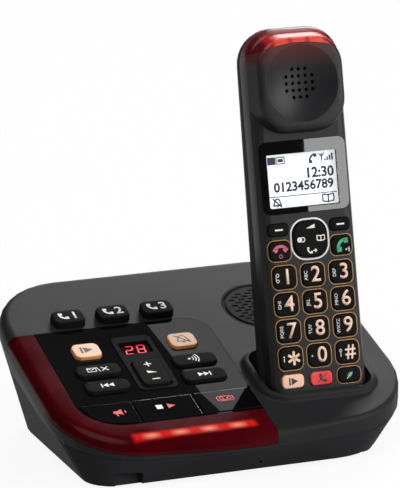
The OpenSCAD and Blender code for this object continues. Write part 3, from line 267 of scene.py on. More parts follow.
def box_lamp(name, width, height, energy):
    """A rectangular lamp that the camera doesn't see."""
    bpy.ops.object.light_add(type="AREA")
    lamp = bpy.context.object
    lamp.name = name
    lamp.data.shape = "RECTANGLE"
    lamp.data.size, lamp.data.size_y = width, height
    lamp.data.energy = energy
    lamp.visible_camera = False
    return lamp


head = sum(reach_of("handset_light_lens", 0.0), Vector()) / 2
head_way, head_distance = Vector((0.35, 0.17, 0.91)), 0.25
head_box = box_lamp("head_box", 0.14, 0.09, 0.42)
head_box.data.color = (1.0, 0.68, 0.68)
head_box.location = head + head_distance * head_way
head_box.rotation_mode = "QUATERNION"
head_box.rotation_quaternion = head_way.to_track_quat("Z", "Y")
cap_only = bpy.data.collections.new("cap_only")
cap_only.objects.link(nodes["handset_light_lens"])
head_box.light_linking.receiver_collection = cap_only


def mirrored(spot, normal, reach):
    """Where a line of sight that meets a polished face at spot ends."""
    ray = (spot - eye).normalized()
    return spot + (ray - 2 * ray.dot(normal) * normal) * reach


def soft_box(name, border, inner, angle, reach, width, radiance):
    """A box lamp whose border mirrors in a plane along the line given there."""
    turn = turned(angle)
    normal = turn @ Vector((0, 0, 1))
    ends = [mirrored(turn @ Vector(p), normal, reach) for p in border]
    middle = turn @ Vector(inner)
    side = ends[1] - ends[0]
    facing = (middle - (ends[0] + ends[1]) / 2).normalized()
    outward = mirrored(middle, normal, reach) - ends[0]
    outward -= outward.project(side)
    outward -= outward.project(facing)
    outward.normalize()
    side.normalize()
    height = (ends[1] - ends[0]).length
    centre = (ends[0] + ends[1]) / 2 + outward * width / 2
    back = outward.cross(side)
    if back.dot(facing) > 0:
        side, back = -side, -back
    lamp = box_lamp(name, width, height, math.pi * width * height * radiance)
    lamp.matrix_world = Matrix.Translation(centre) @ Matrix(
        (outward, side, back)).transposed().to_4x4()
    print(name, "at", [round(v, 3) for v in centre], "size", round(width, 3), round(height, 3))


panel_top = top_of("control_panel", deck_turn)[0].z
window_top = top_of("display_window", face_turn)[0].z
box_reach = 1.0
soft_box("back_box", [(-0.0261, 0.060, panel_top), (-0.0013, -0.050, panel_top)],
         (0.004, 0.020, panel_top), deck_turn, box_reach, 0.42, 0.8)
soft_box("front_box", [(0.0450, 0.190, window_top), (0.0421, 0.040, window_top)],
         (0.056, 0.115, window_top), face_turn, box_reach, 0.40, 7.5)

# %% [markdown]
# ## Shared effects
#
# Moulded plastic is never one flat colour. The tool that formed it was etched,
# so the skin has a fine grain, and the colour drifts a little over a hand's
# width. Painting that by hand would need a picture; a node group makes it from
# the place on the part, and each finish sets its own grain.

# %% Grain group
def effect(name, inputs, outputs):
    """An empty node group with named sockets."""
    group = bpy.data.node_groups.new(name, "ShaderNodeTree")
    for label, kind, value in inputs:
        socket = group.interface.new_socket(label, in_out="INPUT", socket_type=kind)
        if value is not None:
            socket.default_value = value
    for label, kind in outputs:
        group.interface.new_socket(label, in_out="OUTPUT", socket_type=kind)
    return group, group.nodes.new("NodeGroupInput"), group.nodes.new("NodeGroupOutput")


def scaled(tree, value, low, high, to_low=0.0, to_high=1.0):
    """A Map Range node from one value; returns its output."""
    node = tree.nodes.new("ShaderNodeMapRange")
    for label, number in zip(("From Min", "From Max", "To Min", "To Max"),
                             (low, high, to_low, to_high)):
        node.inputs[label].default_value = number
    tree.links.new(value, node.inputs["Value"])
    return node.outputs["Result"]


def sum_of(tree, operation, first, second):
    """A Math node; each operand is a socket or a number."""
    node = tree.nodes.new("ShaderNodeMath")
    node.operation = operation
    for socket, operand in zip(node.inputs, (first, second)):
        if isinstance(operand, (int, float)):
            socket.default_value = operand
        else:
            tree.links.new(operand, socket)
    return node.outputs[0]


grain_group, taken, given = effect(
    "moulded_grain",
    [("Place", "NodeSocketVector", None), ("Grain", "NodeSocketFloat", 2500.0),
     ("Drift", "NodeSocketFloat", 25.0)],
    [("Height", "NodeSocketFloat"), ("Tone", "NodeSocketFloat")])
for scale, detail, label in (("Grain", 2.0, "Height"), ("Drift", 4.0, "Tone")):
    noise = grain_group.nodes.new("ShaderNodeTexNoise")
    noise.inputs["Detail"].default_value = detail
    grain_group.links.new(taken.outputs["Place"], noise.inputs["Vector"])
    grain_group.links.new(taken.outputs[scale], noise.inputs["Scale"])
    grain_group.links.new(scaled(grain_group, noise.outputs["Fac"], 0.3, 0.7),
                          given.inputs[label])
print(grain_group.name, "has", len(grain_group.nodes), "nodes")

# %% [markdown]
# Some finishes change with the way a face turns: a rubber key is painted paler on its crown
# than on its walls. This is painted light on the crown and painted shade on the walls,
# standing in for light that falls on the crown and passes through the walls. The next
# group compares the surface with one direction and gives a mask.

# %% Crown group for painted light
painted_crown_light_group, taken, given = effect(
    "painted_crown_light_mask",
    [("Direction", "NodeSocketVector", (0, 0, 1))], [("Mask", "NodeSocketFloat")])
surface = painted_crown_light_group.nodes.new("ShaderNodeTexCoord")
aligned = painted_crown_light_group.nodes.new("ShaderNodeVectorMath")
aligned.operation = "DOT_PRODUCT"
painted_crown_light_group.links.new(surface.outputs["Normal"], aligned.inputs[0])
painted_crown_light_group.links.new(taken.outputs["Direction"], aligned.inputs[1])
painted_crown_light_group.links.new(scaled(painted_crown_light_group, aligned.outputs["Value"], 0.6, 0.98),
                      given.inputs["Mask"])
print(painted_crown_light_group.name, "ready")

# %% [markdown]
# Lamps behind a tinted lens, the clear field of a window and the lit field of a
# display are all soft-edged oblong fields on a slanted plane. One group makes
# the field from its middle, its slope, its half sizes and its softness.

# %% Field group
field_group, taken, given = effect(
    "oblong_field",
    [("Place", "NodeSocketVector", None), ("Middle", "NodeSocketVector", None),
     ("Slope", "NodeSocketFloat", 0.0), ("Half Width", "NodeSocketFloat", 0.01),
     ("Half Length", "NodeSocketFloat", 0.01), ("Softness", "NodeSocketFloat", 0.001)],
    [("Mask", "NodeSocketFloat")])
offset = field_group.nodes.new("ShaderNodeVectorMath")
offset.operation = "SUBTRACT"
field_group.links.new(taken.outputs["Place"], offset.inputs[0])
field_group.links.new(taken.outputs["Middle"], offset.inputs[1])
level = field_group.nodes.new("ShaderNodeVectorRotate")
level.rotation_type = "X_AXIS"
field_group.links.new(offset.outputs[0], level.inputs["Vector"])
field_group.links.new(sum_of(field_group, "MULTIPLY", taken.outputs["Slope"], -1.0),
                      level.inputs["Angle"])
axes = field_group.nodes.new("ShaderNodeSeparateXYZ")
field_group.links.new(level.outputs[0], axes.inputs[0])
insides = []
for axis_name, half in (("X", "Half Width"), ("Y", "Half Length")):
    distance = sum_of(field_group, "ABSOLUTE", axes.outputs[axis_name], 0.0)
    inside = sum_of(field_group, "SUBTRACT", taken.outputs[half], distance)
    inside = sum_of(field_group, "DIVIDE", inside, taken.outputs["Softness"])
    insides.append(scaled(field_group, inside, 0.0, 1.0))
field_group.links.new(sum_of(field_group, "MULTIPLY", *insides), given.inputs["Mask"])
print(field_group.name, "ready")

# %% [markdown]
# ## Finishes for the cases and keys
#
# The base and the handset are grey and black mouldings with a fine matt skin.
# Each finish mixes two near tones by the slow drift, lets the grain roughen the
# surface, and raises the same grain as a bump of a few hundredths of a
# millimetre.

# %% Moulded finishes
def paint(code):
    """A colour code of the screen as the linear colour that Blender mixes."""
    parts = [int(code[i:i + 2], 16) / 255 for i in (1, 3, 5)]
    return [p / 12.92 if p <= 0.04045 else ((p + 0.055) / 1.055) ** 2.4
            for p in parts] + [1.0]


finishes = {}


def started(name):
    """A new finish, its tree, its shader and its place on the part."""
    finish = bpy.data.materials.new(name)
    finish.use_nodes = True
    tree = finish.node_tree
    place = tree.nodes.new("ShaderNodeTexCoord").outputs["Object"]
    finishes[name] = finish
    return tree, tree.nodes["Principled BSDF"], place


def placed(tree, group, place=None, **values):
    """A group placed in a finish with its own values; returns the node."""
    node = tree.nodes.new("ShaderNodeGroup")
    node.node_tree = group
    if place is not None:
        tree.links.new(place, node.inputs["Place"])
    for label, value in values.items():
        node.inputs[label.replace("_", " ")].default_value = value
    return node


def mixed(tree, mask, first, second):
    """A colour mix; each colour is a socket or a colour code."""
    node = tree.nodes.new("ShaderNodeMix")
    node.data_type = "RGBA"
    if isinstance(mask, float):
        node.inputs["Factor"].default_value = mask
    else:
        tree.links.new(mask, node.inputs["Factor"])
    for socket, colour in ((node.inputs[6], first), (node.inputs[7], second)):
        if isinstance(colour, str):
            socket.default_value = paint(colour)
        else:
            tree.links.new(colour, socket)
    return node.outputs[2]


def toned(tree, shader, mask, dark, pale, socket="Base Color"):
    """Two tones of a shader's colour, mixed by a mask."""
    tree.links.new(mixed(tree, mask, dark, pale), shader.inputs[socket])


def roughened(tree, shader, mask, rough):
    """A roughness that a mask moves between two values."""
    tree.links.new(scaled(tree, mask, 0, 1, *rough), shader.inputs["Roughness"])


def oblong(tree, place, middle, slope, half_width, half_length, softness):
    """The mask of a soft-edged oblong field on a slanted plane."""
    return placed(tree, field_group, place, Middle=middle, Slope=slope,
                  Half_Width=half_width, Half_Length=half_length,
                  Softness=softness).outputs["Mask"]


bump_strength = 0.6


def raised(tree, shader, height, depth):
    """A bump of a given depth in metres on a shader."""
    bump = tree.nodes.new("ShaderNodeBump")
    bump.inputs["Strength"].default_value = bump_strength
    bump.inputs["Distance"].default_value = depth
    tree.links.new(height, bump.inputs["Height"])
    tree.links.new(bump.outputs["Normal"], shader.inputs["Normal"])


def moulded(name, dark, pale, rough, grain=2500.0, drift=25.0, depth=0.00003,
            metallic=0.0, coat=0.0, gloss=0.5):
    """A grained finish of two near tones."""
    tree, shader, place = started(name)
    skin = placed(tree, grain_group, place, Grain=grain, Drift=drift)
    toned(tree, shader, skin.outputs["Tone"], dark, pale)
    roughened(tree, shader, skin.outputs["Height"], rough)
    raised(tree, shader, skin.outputs["Height"], depth)
    shader.inputs["Metallic"].default_value = metallic
    shader.inputs["Coat Weight"].default_value = coat
    shader.inputs["Specular IOR Level"].default_value = gloss
    return finishes[name]


charcoal = ("#1d1d1f", "#232325", (0.50, 0.62))
moulded("charcoal_case", *charcoal, gloss=0.13)
moulded("dark_case", "#2a2a2c", "#303032", (0.50, 0.62), gloss=0.02)
moulded("key_black", "#151414", "#1b1a19", (0.66, 0.78), depth=0.00002, gloss=0.04)
moulded("foot_rubber", "#161617", "#1f1f20", (0.75, 0.9), grain=1200.0)
moulded("mat_rubber", "#84847c", "#919188", (0.7, 0.85), grain=900.0)
moulded("speaker_metal", "#5b5b5d", "#68686a", (0.35, 0.5), metallic=0.7)
moulded("screw_steel", "#a3a5a8", "#bcbec0", (0.22, 0.38), grain=4000.0, metallic=1.0)
moulded("contact_metal", "#c6bfa8", "#d8d2bd", (0.14, 0.26), grain=3000.0, metallic=1.0)
moulded("cell_sleeve", "#2f6b34", "#3b7a3f", (0.18, 0.3), drift=60.0, coat=0.4)
print(len(finishes), "moulded finishes")

# %% [markdown]
# Polished pieces have no grain, only the faint smears of use. Their colour is
# almost black, and their look comes from what they mirror, so the roughness is
# near nothing and drifts a little.

# %% Polished finishes
def polished(name, dark, pale, rough, grain=400.0, drift=60.0):
    """A smooth finish whose tone and gloss drift; returns its tree, shader and place."""
    tree, shader, place = started(name)
    skin = placed(tree, grain_group, place, Grain=grain, Drift=drift)
    toned(tree, shader, skin.outputs["Tone"], dark, pale)
    roughened(tree, shader, skin.outputs["Tone"], rough)
    return tree, shader, place


polished("panel_gloss", "#050506", "#09090a", (0.0, 0.025))
polished("counter_glass", "#16060a", "#1e080c", (0.03, 0.08))
print("polished: panel_gloss, counter_glass")

# %% [markdown]
# The peach and red keys are dyed rubber. Their pale crown and stronger walls are painted
# light and shade: the crown mask mixes the two tones by how each face turns from the plane
# that the key rises from, and the grain roughens them like the other keys.

# %% Dyed keys with painted crown light
wear = 0.08


def dyed_with_painted_light(name, crown, wall, direction):
    """A dyed rubber finish with painted light: the crown that faces a direction is painted
    paler.
    """
    tree, shader, place = started(name)
    skin = placed(tree, grain_group, place, Grain=2500.0, Drift=120.0)
    # Painted light: faces turned towards the direction get the paler crown colour, the rest
    # the stronger wall colour.
    top = placed(tree, painted_crown_light_group, Direction=direction)
    painted_crown_tint = mixed(tree, top.outputs["Mask"], wall, crown)
    worn = mixed(tree, wear, painted_crown_tint, "#ffffff")
    toned(tree, shader, skin.outputs["Tone"], painted_crown_tint, worn)
    roughened(tree, shader, skin.outputs["Height"], (0.4, 0.55))
    raised(tree, shader, skin.outputs["Height"], 0.00002)
    shader.inputs["Specular IOR Level"].default_value = 0.1


dyed_with_painted_light("peach_deck_key", "#f7caae", "#e0904e", deck_normal)
dyed_with_painted_light("peach_face_key", "#f7caae", "#e0904e", face_normal)
dyed_with_painted_light("red_key", "#ea3338", "#b0181e", face_normal)
print("dyed: peach_deck_key, peach_face_key, red_key")

# %% [markdown]
# The circuit boards show only while the cases are open, but they are made to
# look right: a green mask with paler copper runs under it. A cell pattern
# measured square, not round, gives runs that turn at right angles.

# %% Circuit board finish
tree, shader, place = started("board")
runs = tree.nodes.new("ShaderNodeTexVoronoi")
runs.distance = "CHEBYCHEV"
runs.feature = "DISTANCE_TO_EDGE"
runs.inputs["Scale"].default_value = 220.0
tree.links.new(place, runs.inputs["Vector"])
copper = scaled(tree, runs.outputs["Distance"], 0.04, 0.07, 1.0, 0.0)
toned(tree, shader, copper, "#0f4a25", "#2c7a45")
raised(tree, shader, copper, 0.00003)
shader.inputs["Roughness"].default_value = 0.35
print("board ready")

# %% [markdown]
# ## The red lenses
#
# A tinted lens runs along the left and front edge of the base, and another caps
# the handset. Small lamps behind them light a strip. Real lamps inside a clear
# solid would need slow, noisy light paths; the glow is painted as an oblong
# field with hot spots instead, and the polished skin still mirrors the studio.

# %% Lit lenses
def lit_lens(name, tints, slope, strip, strip_half, lamps, lamp_half, power, rough, gloss):
    """A tinted lens with a glowing strip and brighter lamps along it."""
    tree, shader, place = polished(name, *tints, rough, grain=500.0, drift=45.0)
    glow = mixed(tree, oblong(tree, place, strip, slope, *strip_half), "#000000", power[0])
    for lamp in lamps:
        glow = mixed(tree, oblong(tree, place, lamp, slope, *lamp_half), glow, power[1])
    tree.links.new(glow, shader.inputs["Emission Color"])
    shader.inputs["Emission Strength"].default_value = 1.0
    shader.inputs["Specular IOR Level"].default_value = gloss


strip_left, strip_right, strip_count, strip_end = -0.0535, 0.0015, 4, 0.003
strip_y = reach_of("ringer_light_lens", deck_turn)[0].y + 0.0108
strip_step = (strip_right - strip_left) / strip_count
strip_lamps = [turned(deck_turn) @ Vector((strip_left + strip_step * (i + 0.5),
                                           strip_y, panel_top))
               for i in range(strip_count)]
strip_middle = turned(deck_turn) @ Vector(((strip_left + strip_right) / 2, strip_y, panel_top))
lit_lens("base_lens", ("#3a0207", "#4a040b"), deck_turn, strip_middle,
         ((strip_right - strip_left) / 2 + strip_end, 0.0036, 0.0024), strip_lamps,
         (0.0050, 0.0026, 0.0042), ("#c41c12", "#ffb898"), (0.14, 0.20), 0.05)

cap_low, cap_high = reach_of("handset_light_lens", face_turn)
cap_x = (cap_low.x + cap_high.x) / 2
cap_row = cap_low.y + 0.0050
cap_step = 0.0085
cap_lamps = [turned(face_turn) @ Vector((cap_x + shift, cap_row, cap_high.z))
             for shift in (-cap_step, 0.0, cap_step)]
lit_lens("cap_lens", ("#4a050c", "#5a0810"), face_turn, cap_lamps[1],
         (0.0165, 0.0048, 0.0024), cap_lamps, (0.0043, 0.0034, 0.0018),
         ("#860e0e", "#cc4632"), (0.32, 0.40), 0.3)
print("lens strip from", strip_left, "to", strip_right, "m")

# %% [markdown]
# The lit cap also throws a little red on the top of the case below it. A lamp could do
# that, but it would redden the keys of the base as well, so that red light is painted: the
# case has a finish of its own with a faint, very soft glowing field under the cap.

# %% Case with painted red light on its top
tree = moulded("case_with_painted_red_light", *charcoal[:2], (0.32, 0.42), gloss=0.17).node_tree
shader = tree.nodes["Principled BSDF"]
place = tree.nodes.new("ShaderNodeTexCoord").outputs["Object"]
painted_spill_middle = turned(face_turn) @ Vector((cap_x - 0.005, cap_row, cap_high.z))
# Painted red light: an emission field under the cap stands in for the glow that the cap throws
# on the case.
painted_spill = oblong(tree, place, painted_spill_middle, face_turn, 0.028, 0.012, 0.012)
toned(tree, shader, painted_spill, "#000000", "#501410", "Emission Color")
shader.inputs["Emission Strength"].default_value = 1.0
print("case_with_painted_red_light ready")

# %% [markdown]
# ## Dressing the solids
#
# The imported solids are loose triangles. Their shapes are right, so they stay,
# and modifiers join the triangles, part them again only along real edges and
# weigh the normals, which makes the curved faces smooth without moving a point.
# Only the three wide front keys get their thin edges rounded, because light
# catches on them. The display and its window wait for finishes of their own.

# %% Assign finishes and smooth the solids
slot_finish = {part["node"]: part["material_slot"] for part in frame["record"]["subparts"]}
own_finish = {
    "ringer_light_lens": "base_lens", "handset_light_lens": "cap_lens",
    "slow_key": "peach_deck_key", "ringer_off_key": "peach_deck_key",
    "handset_slow_key": "peach_face_key", "counter_bezel": "key_black",
    "handset_front_case": "case_with_painted_red_light",
}
edge_angle, own_angle = 35, {"handset_front_case": 13}
flat_angle = 1
weld_reach = 0.000002
key_edge, edge_steps = 0.0003, 3
edge_rounding = {node: key_edge for node in ("greeting_key", "play_stop_key", "answer_on_key")}


def joined(part, angle=edge_angle, rounding=0.0):
    """Join loose triangles and keep edges sharper than an angle, or round them."""
    part.data.shade_smooth()
    weld = part.modifiers.new("join_triangles", "WELD")
    weld.merge_threshold = weld_reach
    if rounding:
        flat = part.modifiers.new("flat_faces", "DECIMATE")
        flat.decimate_type = "DISSOLVE"
        flat.angle_limit = math.radians(flat_angle)
        bevel = part.modifiers.new("round_edges", "BEVEL")
        bevel.width = rounding
        bevel.segments = edge_steps
        bevel.angle_limit = math.radians(angle)
    edges = part.modifiers.new("real_edges", "EDGE_SPLIT")
    edges.split_angle = math.radians(angle)
    weigh = part.modifiers.new("weigh_normals", "WEIGHTED_NORMAL")
    weigh.keep_sharp = True


for node, part in nodes.items():
    finish = finishes.get(own_finish.get(node, slot_finish[node]))
    if finish is None:
        print(node, "waits for its own finish")
        continue
    part.data.materials.clear()
    part.data.materials.append(finish)
    joined(part, own_angle.get(node, edge_angle), edge_rounding.get(node, 0.0))
print(len(nodes), "solids dressed")

# %% [markdown]
# ## Inks and drawing tools
#
# The marks on the keys are printed, so each is a flat shape a few hundredths of
# a millimetre thick. They could be painted into the key's finish, but then they
# would be hard to change; as thin pieces they stay sharp at any distance. Each
# drawing starts from a plane or a circle on the floor of an empty sheet, in
# millimetres, and is laid on its key afterwards.

# %% Inks
for name, dark, pale in (
        ("white_ink", "#e4e4e1", "#f2f2ef"), ("peach_ink", "#efc7ab", "#f8d9c5"),
        ("amber_ink", "#a87424", "#cf983e"), ("red_ink", "#cf2227", "#e6393a"),
        ("green_ink", "#1b9a66", "#27b57c"), ("pink_ink", "#c24a68", "#d45e7a"),
        ("black_ink", "#141415", "#1d1d1e"), ("navy_ink", "#10163a", "#181f4a")):
    moulded(name, dark, pale, (0.4, 0.55), grain=5000.0, drift=300.0, depth=0.000004)
print("inks:", [name for name in finishes if name.endswith("_ink")])

# %% [markdown]
# A few tools draw every sign. A straight or curved stroke is a row of flat faces,
# a frame is a face hollowed by an inset, and a free shape is a circle whose
# corners are moved. Signs built from the same tools look like one printed set.

# %% Flat shapes on a sheet
def blank_sheet(name):
    """An empty mesh in edit mode, ready for flat shapes."""
    bpy.ops.object.select_all(action="DESELECT")
    bpy.ops.mesh.primitive_plane_add(size=1)
    bpy.context.object.name = name
    bpy.ops.object.mode_set(mode="EDIT")
    bpy.ops.mesh.delete(type="VERT")
    return bpy.context.object


def outline(*points):
    """A flat face through points, from a circle whose corners are moved."""
    bpy.ops.mesh.primitive_circle_add(vertices=len(points), radius=1, fill_type="NGON")
    drawing = bmesh.from_edit_mesh(bpy.context.object.data)
    drawn = [face for face in drawing.faces if face.select][0]
    for corner, (x, y) in zip(drawn.verts, points):
        corner.co = (x, y, 0)
    drawing.normal_update()
    if sum(face.normal.z for face in drawing.faces if face.select) < 0:
        bpy.ops.mesh.flip_normals()
    bmesh.update_edit_mesh(bpy.context.object.data)


def bar(x, y, width, height, turn=0.0):
    """A bar about its middle, turned against the clock by degrees."""
    along = Vector((math.cos(math.radians(turn)), math.sin(math.radians(turn))))
    across = Vector((-along.y, along.x))
    ends = [(-1, -1), (1, -1), (1, 1), (-1, 1)]
    outline(*[Vector((x, y)) + along * i * width / 2 + across * j * height / 2
              for i, j in ends])


def line(x0, y0, x1, y1, thick):
    """A straight stroke between two points."""
    bar((x0 + x1) / 2, (y0 + y1) / 2, math.hypot(x1 - x0, y1 - y0), thick,
        math.degrees(math.atan2(y1 - y0, x1 - x0)))


def disc(x, y, radius, corners=24):
    """A filled circle."""
    bpy.ops.mesh.primitive_circle_add(vertices=corners, radius=radius,
                                      fill_type="NGON", location=(x, y, 0))


def hollowed(thick):
    """Turn the face just drawn into a closed line of even width."""
    bpy.ops.mesh.inset(thickness=thick)
    bpy.ops.mesh.delete(type="FACE")


def hoop(x, y, radius, thick):
    """A round line."""
    disc(x, y, radius, 32)
    hollowed(thick)


def arc(x, y, radius, thick, start, end, steps=12):
    """A curved stroke, from a start angle to an end angle in degrees."""
    turns = [math.radians(start + (end - start) * i / steps) for i in range(steps + 1)]
    for first, second in zip(turns, turns[1:]):
        outline(*[(x + r * math.cos(a), y + r * math.sin(a)) for r, a in (
            (radius - thick / 2, first), (radius + thick / 2, first),
            (radius + thick / 2, second), (radius - thick / 2, second))])


def rounded(width, length, radius, steps=6):
    """Corner points of an oblong with round corners, about its middle."""
    points = []
    for quarter, (i, j) in enumerate(((1, 1), (-1, 1), (-1, -1), (1, -1))):
        for step in range(steps + 1):
            a = math.pi / 2 * (quarter + step / steps)
            points.append((i * (width / 2 - radius) + radius * math.cos(a),
                           j * (length / 2 - radius) + radius * math.sin(a)))
    return points


def frame_line(x, y, width, length, radius, thick):
    """A closed line round an oblong with round corners."""
    outline(*[(x + px, y + py) for px, py in rounded(width, length, radius)])
    hollowed(thick)


print("drawing tools: bar, line, disc, hoop, arc, outline, frame_line")

# %% [markdown]
# A finished drawing is laid on its key: sheets of one mark are joined, turned
# into the slope of the key, pressed on its surface by a shrinkwrap along the
# sheet's own upright, and given the thickness of a coat of ink. It then rides on
# the key, so it goes down with it.

# %% Lay a drawing on a solid
millimetre = 0.001
ink_start = 0.002
ink_lift = 0.00002
ink_coat = 0.00003


def lettered(text, x, y, size, turn=0.0, weight=0.0):
    """Digits or letters as a flat mesh, about a point of the sheet."""
    bpy.ops.object.select_all(action="DESELECT")
    bpy.ops.object.text_add(location=(x, y, 0), rotation=(0, 0, math.radians(turn)))
    words = bpy.context.object
    words.data.body = text
    words.data.size = size
    words.data.offset = weight
    words.data.align_x = "CENTER"
    words.data.align_y = "CENTER"
    words.data.resolution_u = 4
    bpy.ops.object.convert(target="MESH")
    bpy.ops.object.transform_apply(location=True, rotation=True, scale=True)
    return bpy.context.object


def laid(name, sheets, node, body, angle, place):
    """Join sheets, lay them on a solid at a place of its plane, and let them ride."""
    bpy.ops.object.select_all(action="DESELECT")
    for sheet in sheets:
        sheet.select_set(True)
    bpy.context.view_layer.objects.active = sheets[0]
    if len(sheets) > 1:
        bpy.ops.object.join()
    mark = bpy.context.object
    mark.name = mark.data.name = name
    mark.scale = (millimetre, millimetre, millimetre)
    bpy.ops.object.transform_apply(location=False, rotation=False, scale=True)
    mark.rotation_euler = (angle, 0, 0)
    mark.location = turned(angle) @ (Vector(place) + Vector((0, 0, ink_start)))
    wrap = mark.modifiers.new("press_on", "SHRINKWRAP")
    wrap.target = nodes[node]
    wrap.wrap_method = "PROJECT"
    wrap.use_project_z = True
    wrap.use_negative_direction = True
    wrap.use_positive_direction = False
    wrap.offset = ink_lift
    bpy.ops.object.modifier_apply(modifier=wrap.name)
    coat = mark.modifiers.new("ink_coat", "SOLIDIFY")
    coat.thickness = ink_coat
    coat.offset = 1.0
    bpy.ops.object.modifier_apply(modifier=coat.name)
    bpy.ops.object.transform_apply(location=True, rotation=True, scale=True)
    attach(mark, body)


def sheet_of(ink, *shapes):
    """A sheet in one ink; each shape is a drawing tool with its values."""
    sheet = blank_sheet(ink)
    for tool, *values in shapes:
        tool(*values)
    bpy.ops.object.mode_set(mode="OBJECT")
    sheet.data.materials.append(finishes[ink])
    return sheet


def text_sheet(ink, text, x, y, size, turn=0.0, weight=0.0):
    """A sheet with typed digits or letters in one ink."""
    sheet = lettered(text, x, y, size, turn, weight)
    sheet.data.materials.append(finishes[ink])
    return sheet


def on_key(node, angle, *sheets, shift=(0.0, 0.0)):
    """Lay sheets on the middle of a key's crown."""
    place = top_of(node, angle)[0] + millimetre * Vector((*shift, 0.0))
    laid("mark_" + node, sheets, node, node, angle, place)


print("ink coat", 1000 * ink_coat, "mm")

# %% [markdown]
# ## Dial keys
#
# Each dial key carries a large numeral right of its middle and the usual letters
# of the dial, set upright along its left side. The numerals are typed as text
# and made a mesh, because a drawn numeral would never be as even.

# %% Numerals and dial letters
dial_letters = {"2": "ABC", "3": "DEF", "4": "GHI", "5": "JKL", "6": "MNO",
                "7": "PQRS", "8": "TUV", "9": "WXYZ", "0": "+"}
numeral_size, numeral_shift, numeral_weight = 10.0, 1.1, 0.13
letter_size, letter_shift = 2.3, -3.7
for digit in "1234567890":
    sheets = [text_sheet("peach_ink", digit, numeral_shift, 0.0, numeral_size,
                         weight=numeral_weight)]
    if digit in dial_letters:
        sheets.append(text_sheet("white_ink", dial_letters[digit], letter_shift, 0.0,
                                 letter_size, 90.0))
    else:
        sheets.append(sheet_of("white_ink", (hoop, letter_shift, 1.3, 0.8, 0.25),
                               (hoop, letter_shift, -1.3, 0.8, 0.25),
                               (bar, letter_shift - 0.75, 0.0, 0.25, 2.6)))
    on_key("dial_key_" + digit, face_turn, *sheets)
star = [(bar, numeral_shift, 0.0, 6.4, 1.15, 30.0 + 60.0 * i) for i in range(3)]
on_key("dial_key_star", face_turn, sheet_of("peach_ink", *star),
       sheet_of("white_ink", (disc, letter_shift, 0.9, 0.35),
                (bar, letter_shift, -0.6, 0.4, 1.6)))
hash_lines = [(bar, numeral_shift + x, 0.0, 6.6, 0.85, 82.0) for x in (-1.05, 1.05)]
hash_lines += [(bar, numeral_shift, y, 5.2, 0.85) for y in (-1.15, 1.15)]
on_key("dial_key_hash", face_turn, sheet_of("peach_ink", *hash_lines),
       sheet_of("white_ink", (hoop, letter_shift, 1.0, 0.7, 0.25),
                (bar, letter_shift, -0.7, 0.3, 2.2)))
print("12 dial keys printed")

# %% [markdown]
# ## Symbols of the handset keys
#
# A handset seen from the side is the sign for taking and ending a call. It is
# one arc with two heavier ends, so it is drawn once and turned as needed.

# %% Call, soft and short keys
def handset_sign(x, y, size, turn):
    """The sign of a handset, its hollow side facing the way of the turn."""
    facing = math.radians(turn)
    radius, sweep = 0.62 * size, 46.0
    centre = (x + math.cos(facing) * radius * 0.8, y + math.sin(facing) * radius * 0.8)
    arc(*centre, radius, 0.2 * size, turn + 180 - sweep, turn + 180 + sweep)
    for side in (-1, 1):
        a = facing + math.pi + side * math.radians(sweep)
        bar(centre[0] + math.cos(a) * radius * 0.86, centre[1] + math.sin(a) * radius * 0.86,
            0.34 * size, 0.3 * size, math.degrees(a))


on_key("off_key", face_turn,
       sheet_of("pink_ink", (handset_sign, 0.0, 1.4, 6.4, 270.0),
                (arc, 0.0, -2.4, 0.8, 0.3, 120.0, 420.0), (bar, 0.0, -1.7, 0.3, 0.9)))
on_key("talk_key", face_turn,
       sheet_of("green_ink", (handset_sign, -0.4, 0.5, 6.8, -40.0)),
       sheet_of("white_ink", (bar, 1.9, -2.2, 0.6, 0.8),
                (arc, 2.2, -2.2, 0.8, 0.25, -50.0, 50.0),
                (arc, 2.2, -2.2, 1.4, 0.25, -50.0, 50.0)))
for side in ("left", "right"):
    on_key("soft_key_" + side, face_turn, sheet_of("white_ink", (bar, 0.0, 0.0, 3.8, 0.75)))


def slow_sign(x, y, size):
    """The usual sign for slow play: a bar before a triangle."""
    bar(x - size * 0.55, y, size * 0.22, size)
    outline((x - size * 0.3, y - size / 2), (x + size * 0.65, y),
            (x - size * 0.3, y + size / 2))


on_key("handset_slow_key", face_turn, sheet_of("black_ink", (slow_sign, 0.0, 0.0, 3.4)))
on_key("call_block_key", face_turn,
       sheet_of("black_ink", (handset_sign, 0.2, -0.2, 4.4, 40.0),
                (line, -2.2, -1.8, 2.4, 1.9, 0.45)))
on_key("eco_key", face_turn,
       sheet_of("green_ink", (arc, 0.9, -0.9, 2.0, 0.5, 85.0, 175.0),
                (arc, -1.0, 1.0, 2.0, 0.5, -95.0, -5.0)),
       sheet_of("white_ink", (line, -1.6, -1.6, 1.2, 1.2, 0.35)))
print("call, soft and short keys printed")

# %% [markdown]
# The navigator tilts towards four signs: a volume wedge, a switch, an open book
# for the list of names, and a handset with an arrow for calling again.

# %% Navigator signs
def book_sign(x, y, size, thick):
    """An open book: two pages that meet in a fold."""
    for side in (-1, 1):
        edge = x + side * size * 0.55
        line(x, y - size * 0.35, edge, y - size * 0.25, thick)
        line(x, y + size * 0.3, edge, y + size * 0.38, thick)
        line(edge, y - size * 0.25, edge, y + size * 0.38, thick)
    line(x, y - size * 0.35, x, y + size * 0.3, thick)


on_key("navigator_key", face_turn, sheet_of(
    "white_ink",
    (outline, (-2.2, 4.9), (2.2, 4.9), (2.2, 6.7)),
    (disc, -5.6, 0.0, 1.2), (hoop, -4.1, 0.0, 1.2, 0.4),
    (book_sign, 4.8, 0.0, 3.4, 0.45),
    (handset_sign, -1.3, -5.4, 3.2, 40.0), (line, 0.6, -5.4, 2.4, -5.4, 0.45),
    (line, 1.6, -4.7, 2.4, -5.4, 0.45), (line, 1.6, -6.1, 2.4, -5.4, 0.45)))
print("navigator printed")

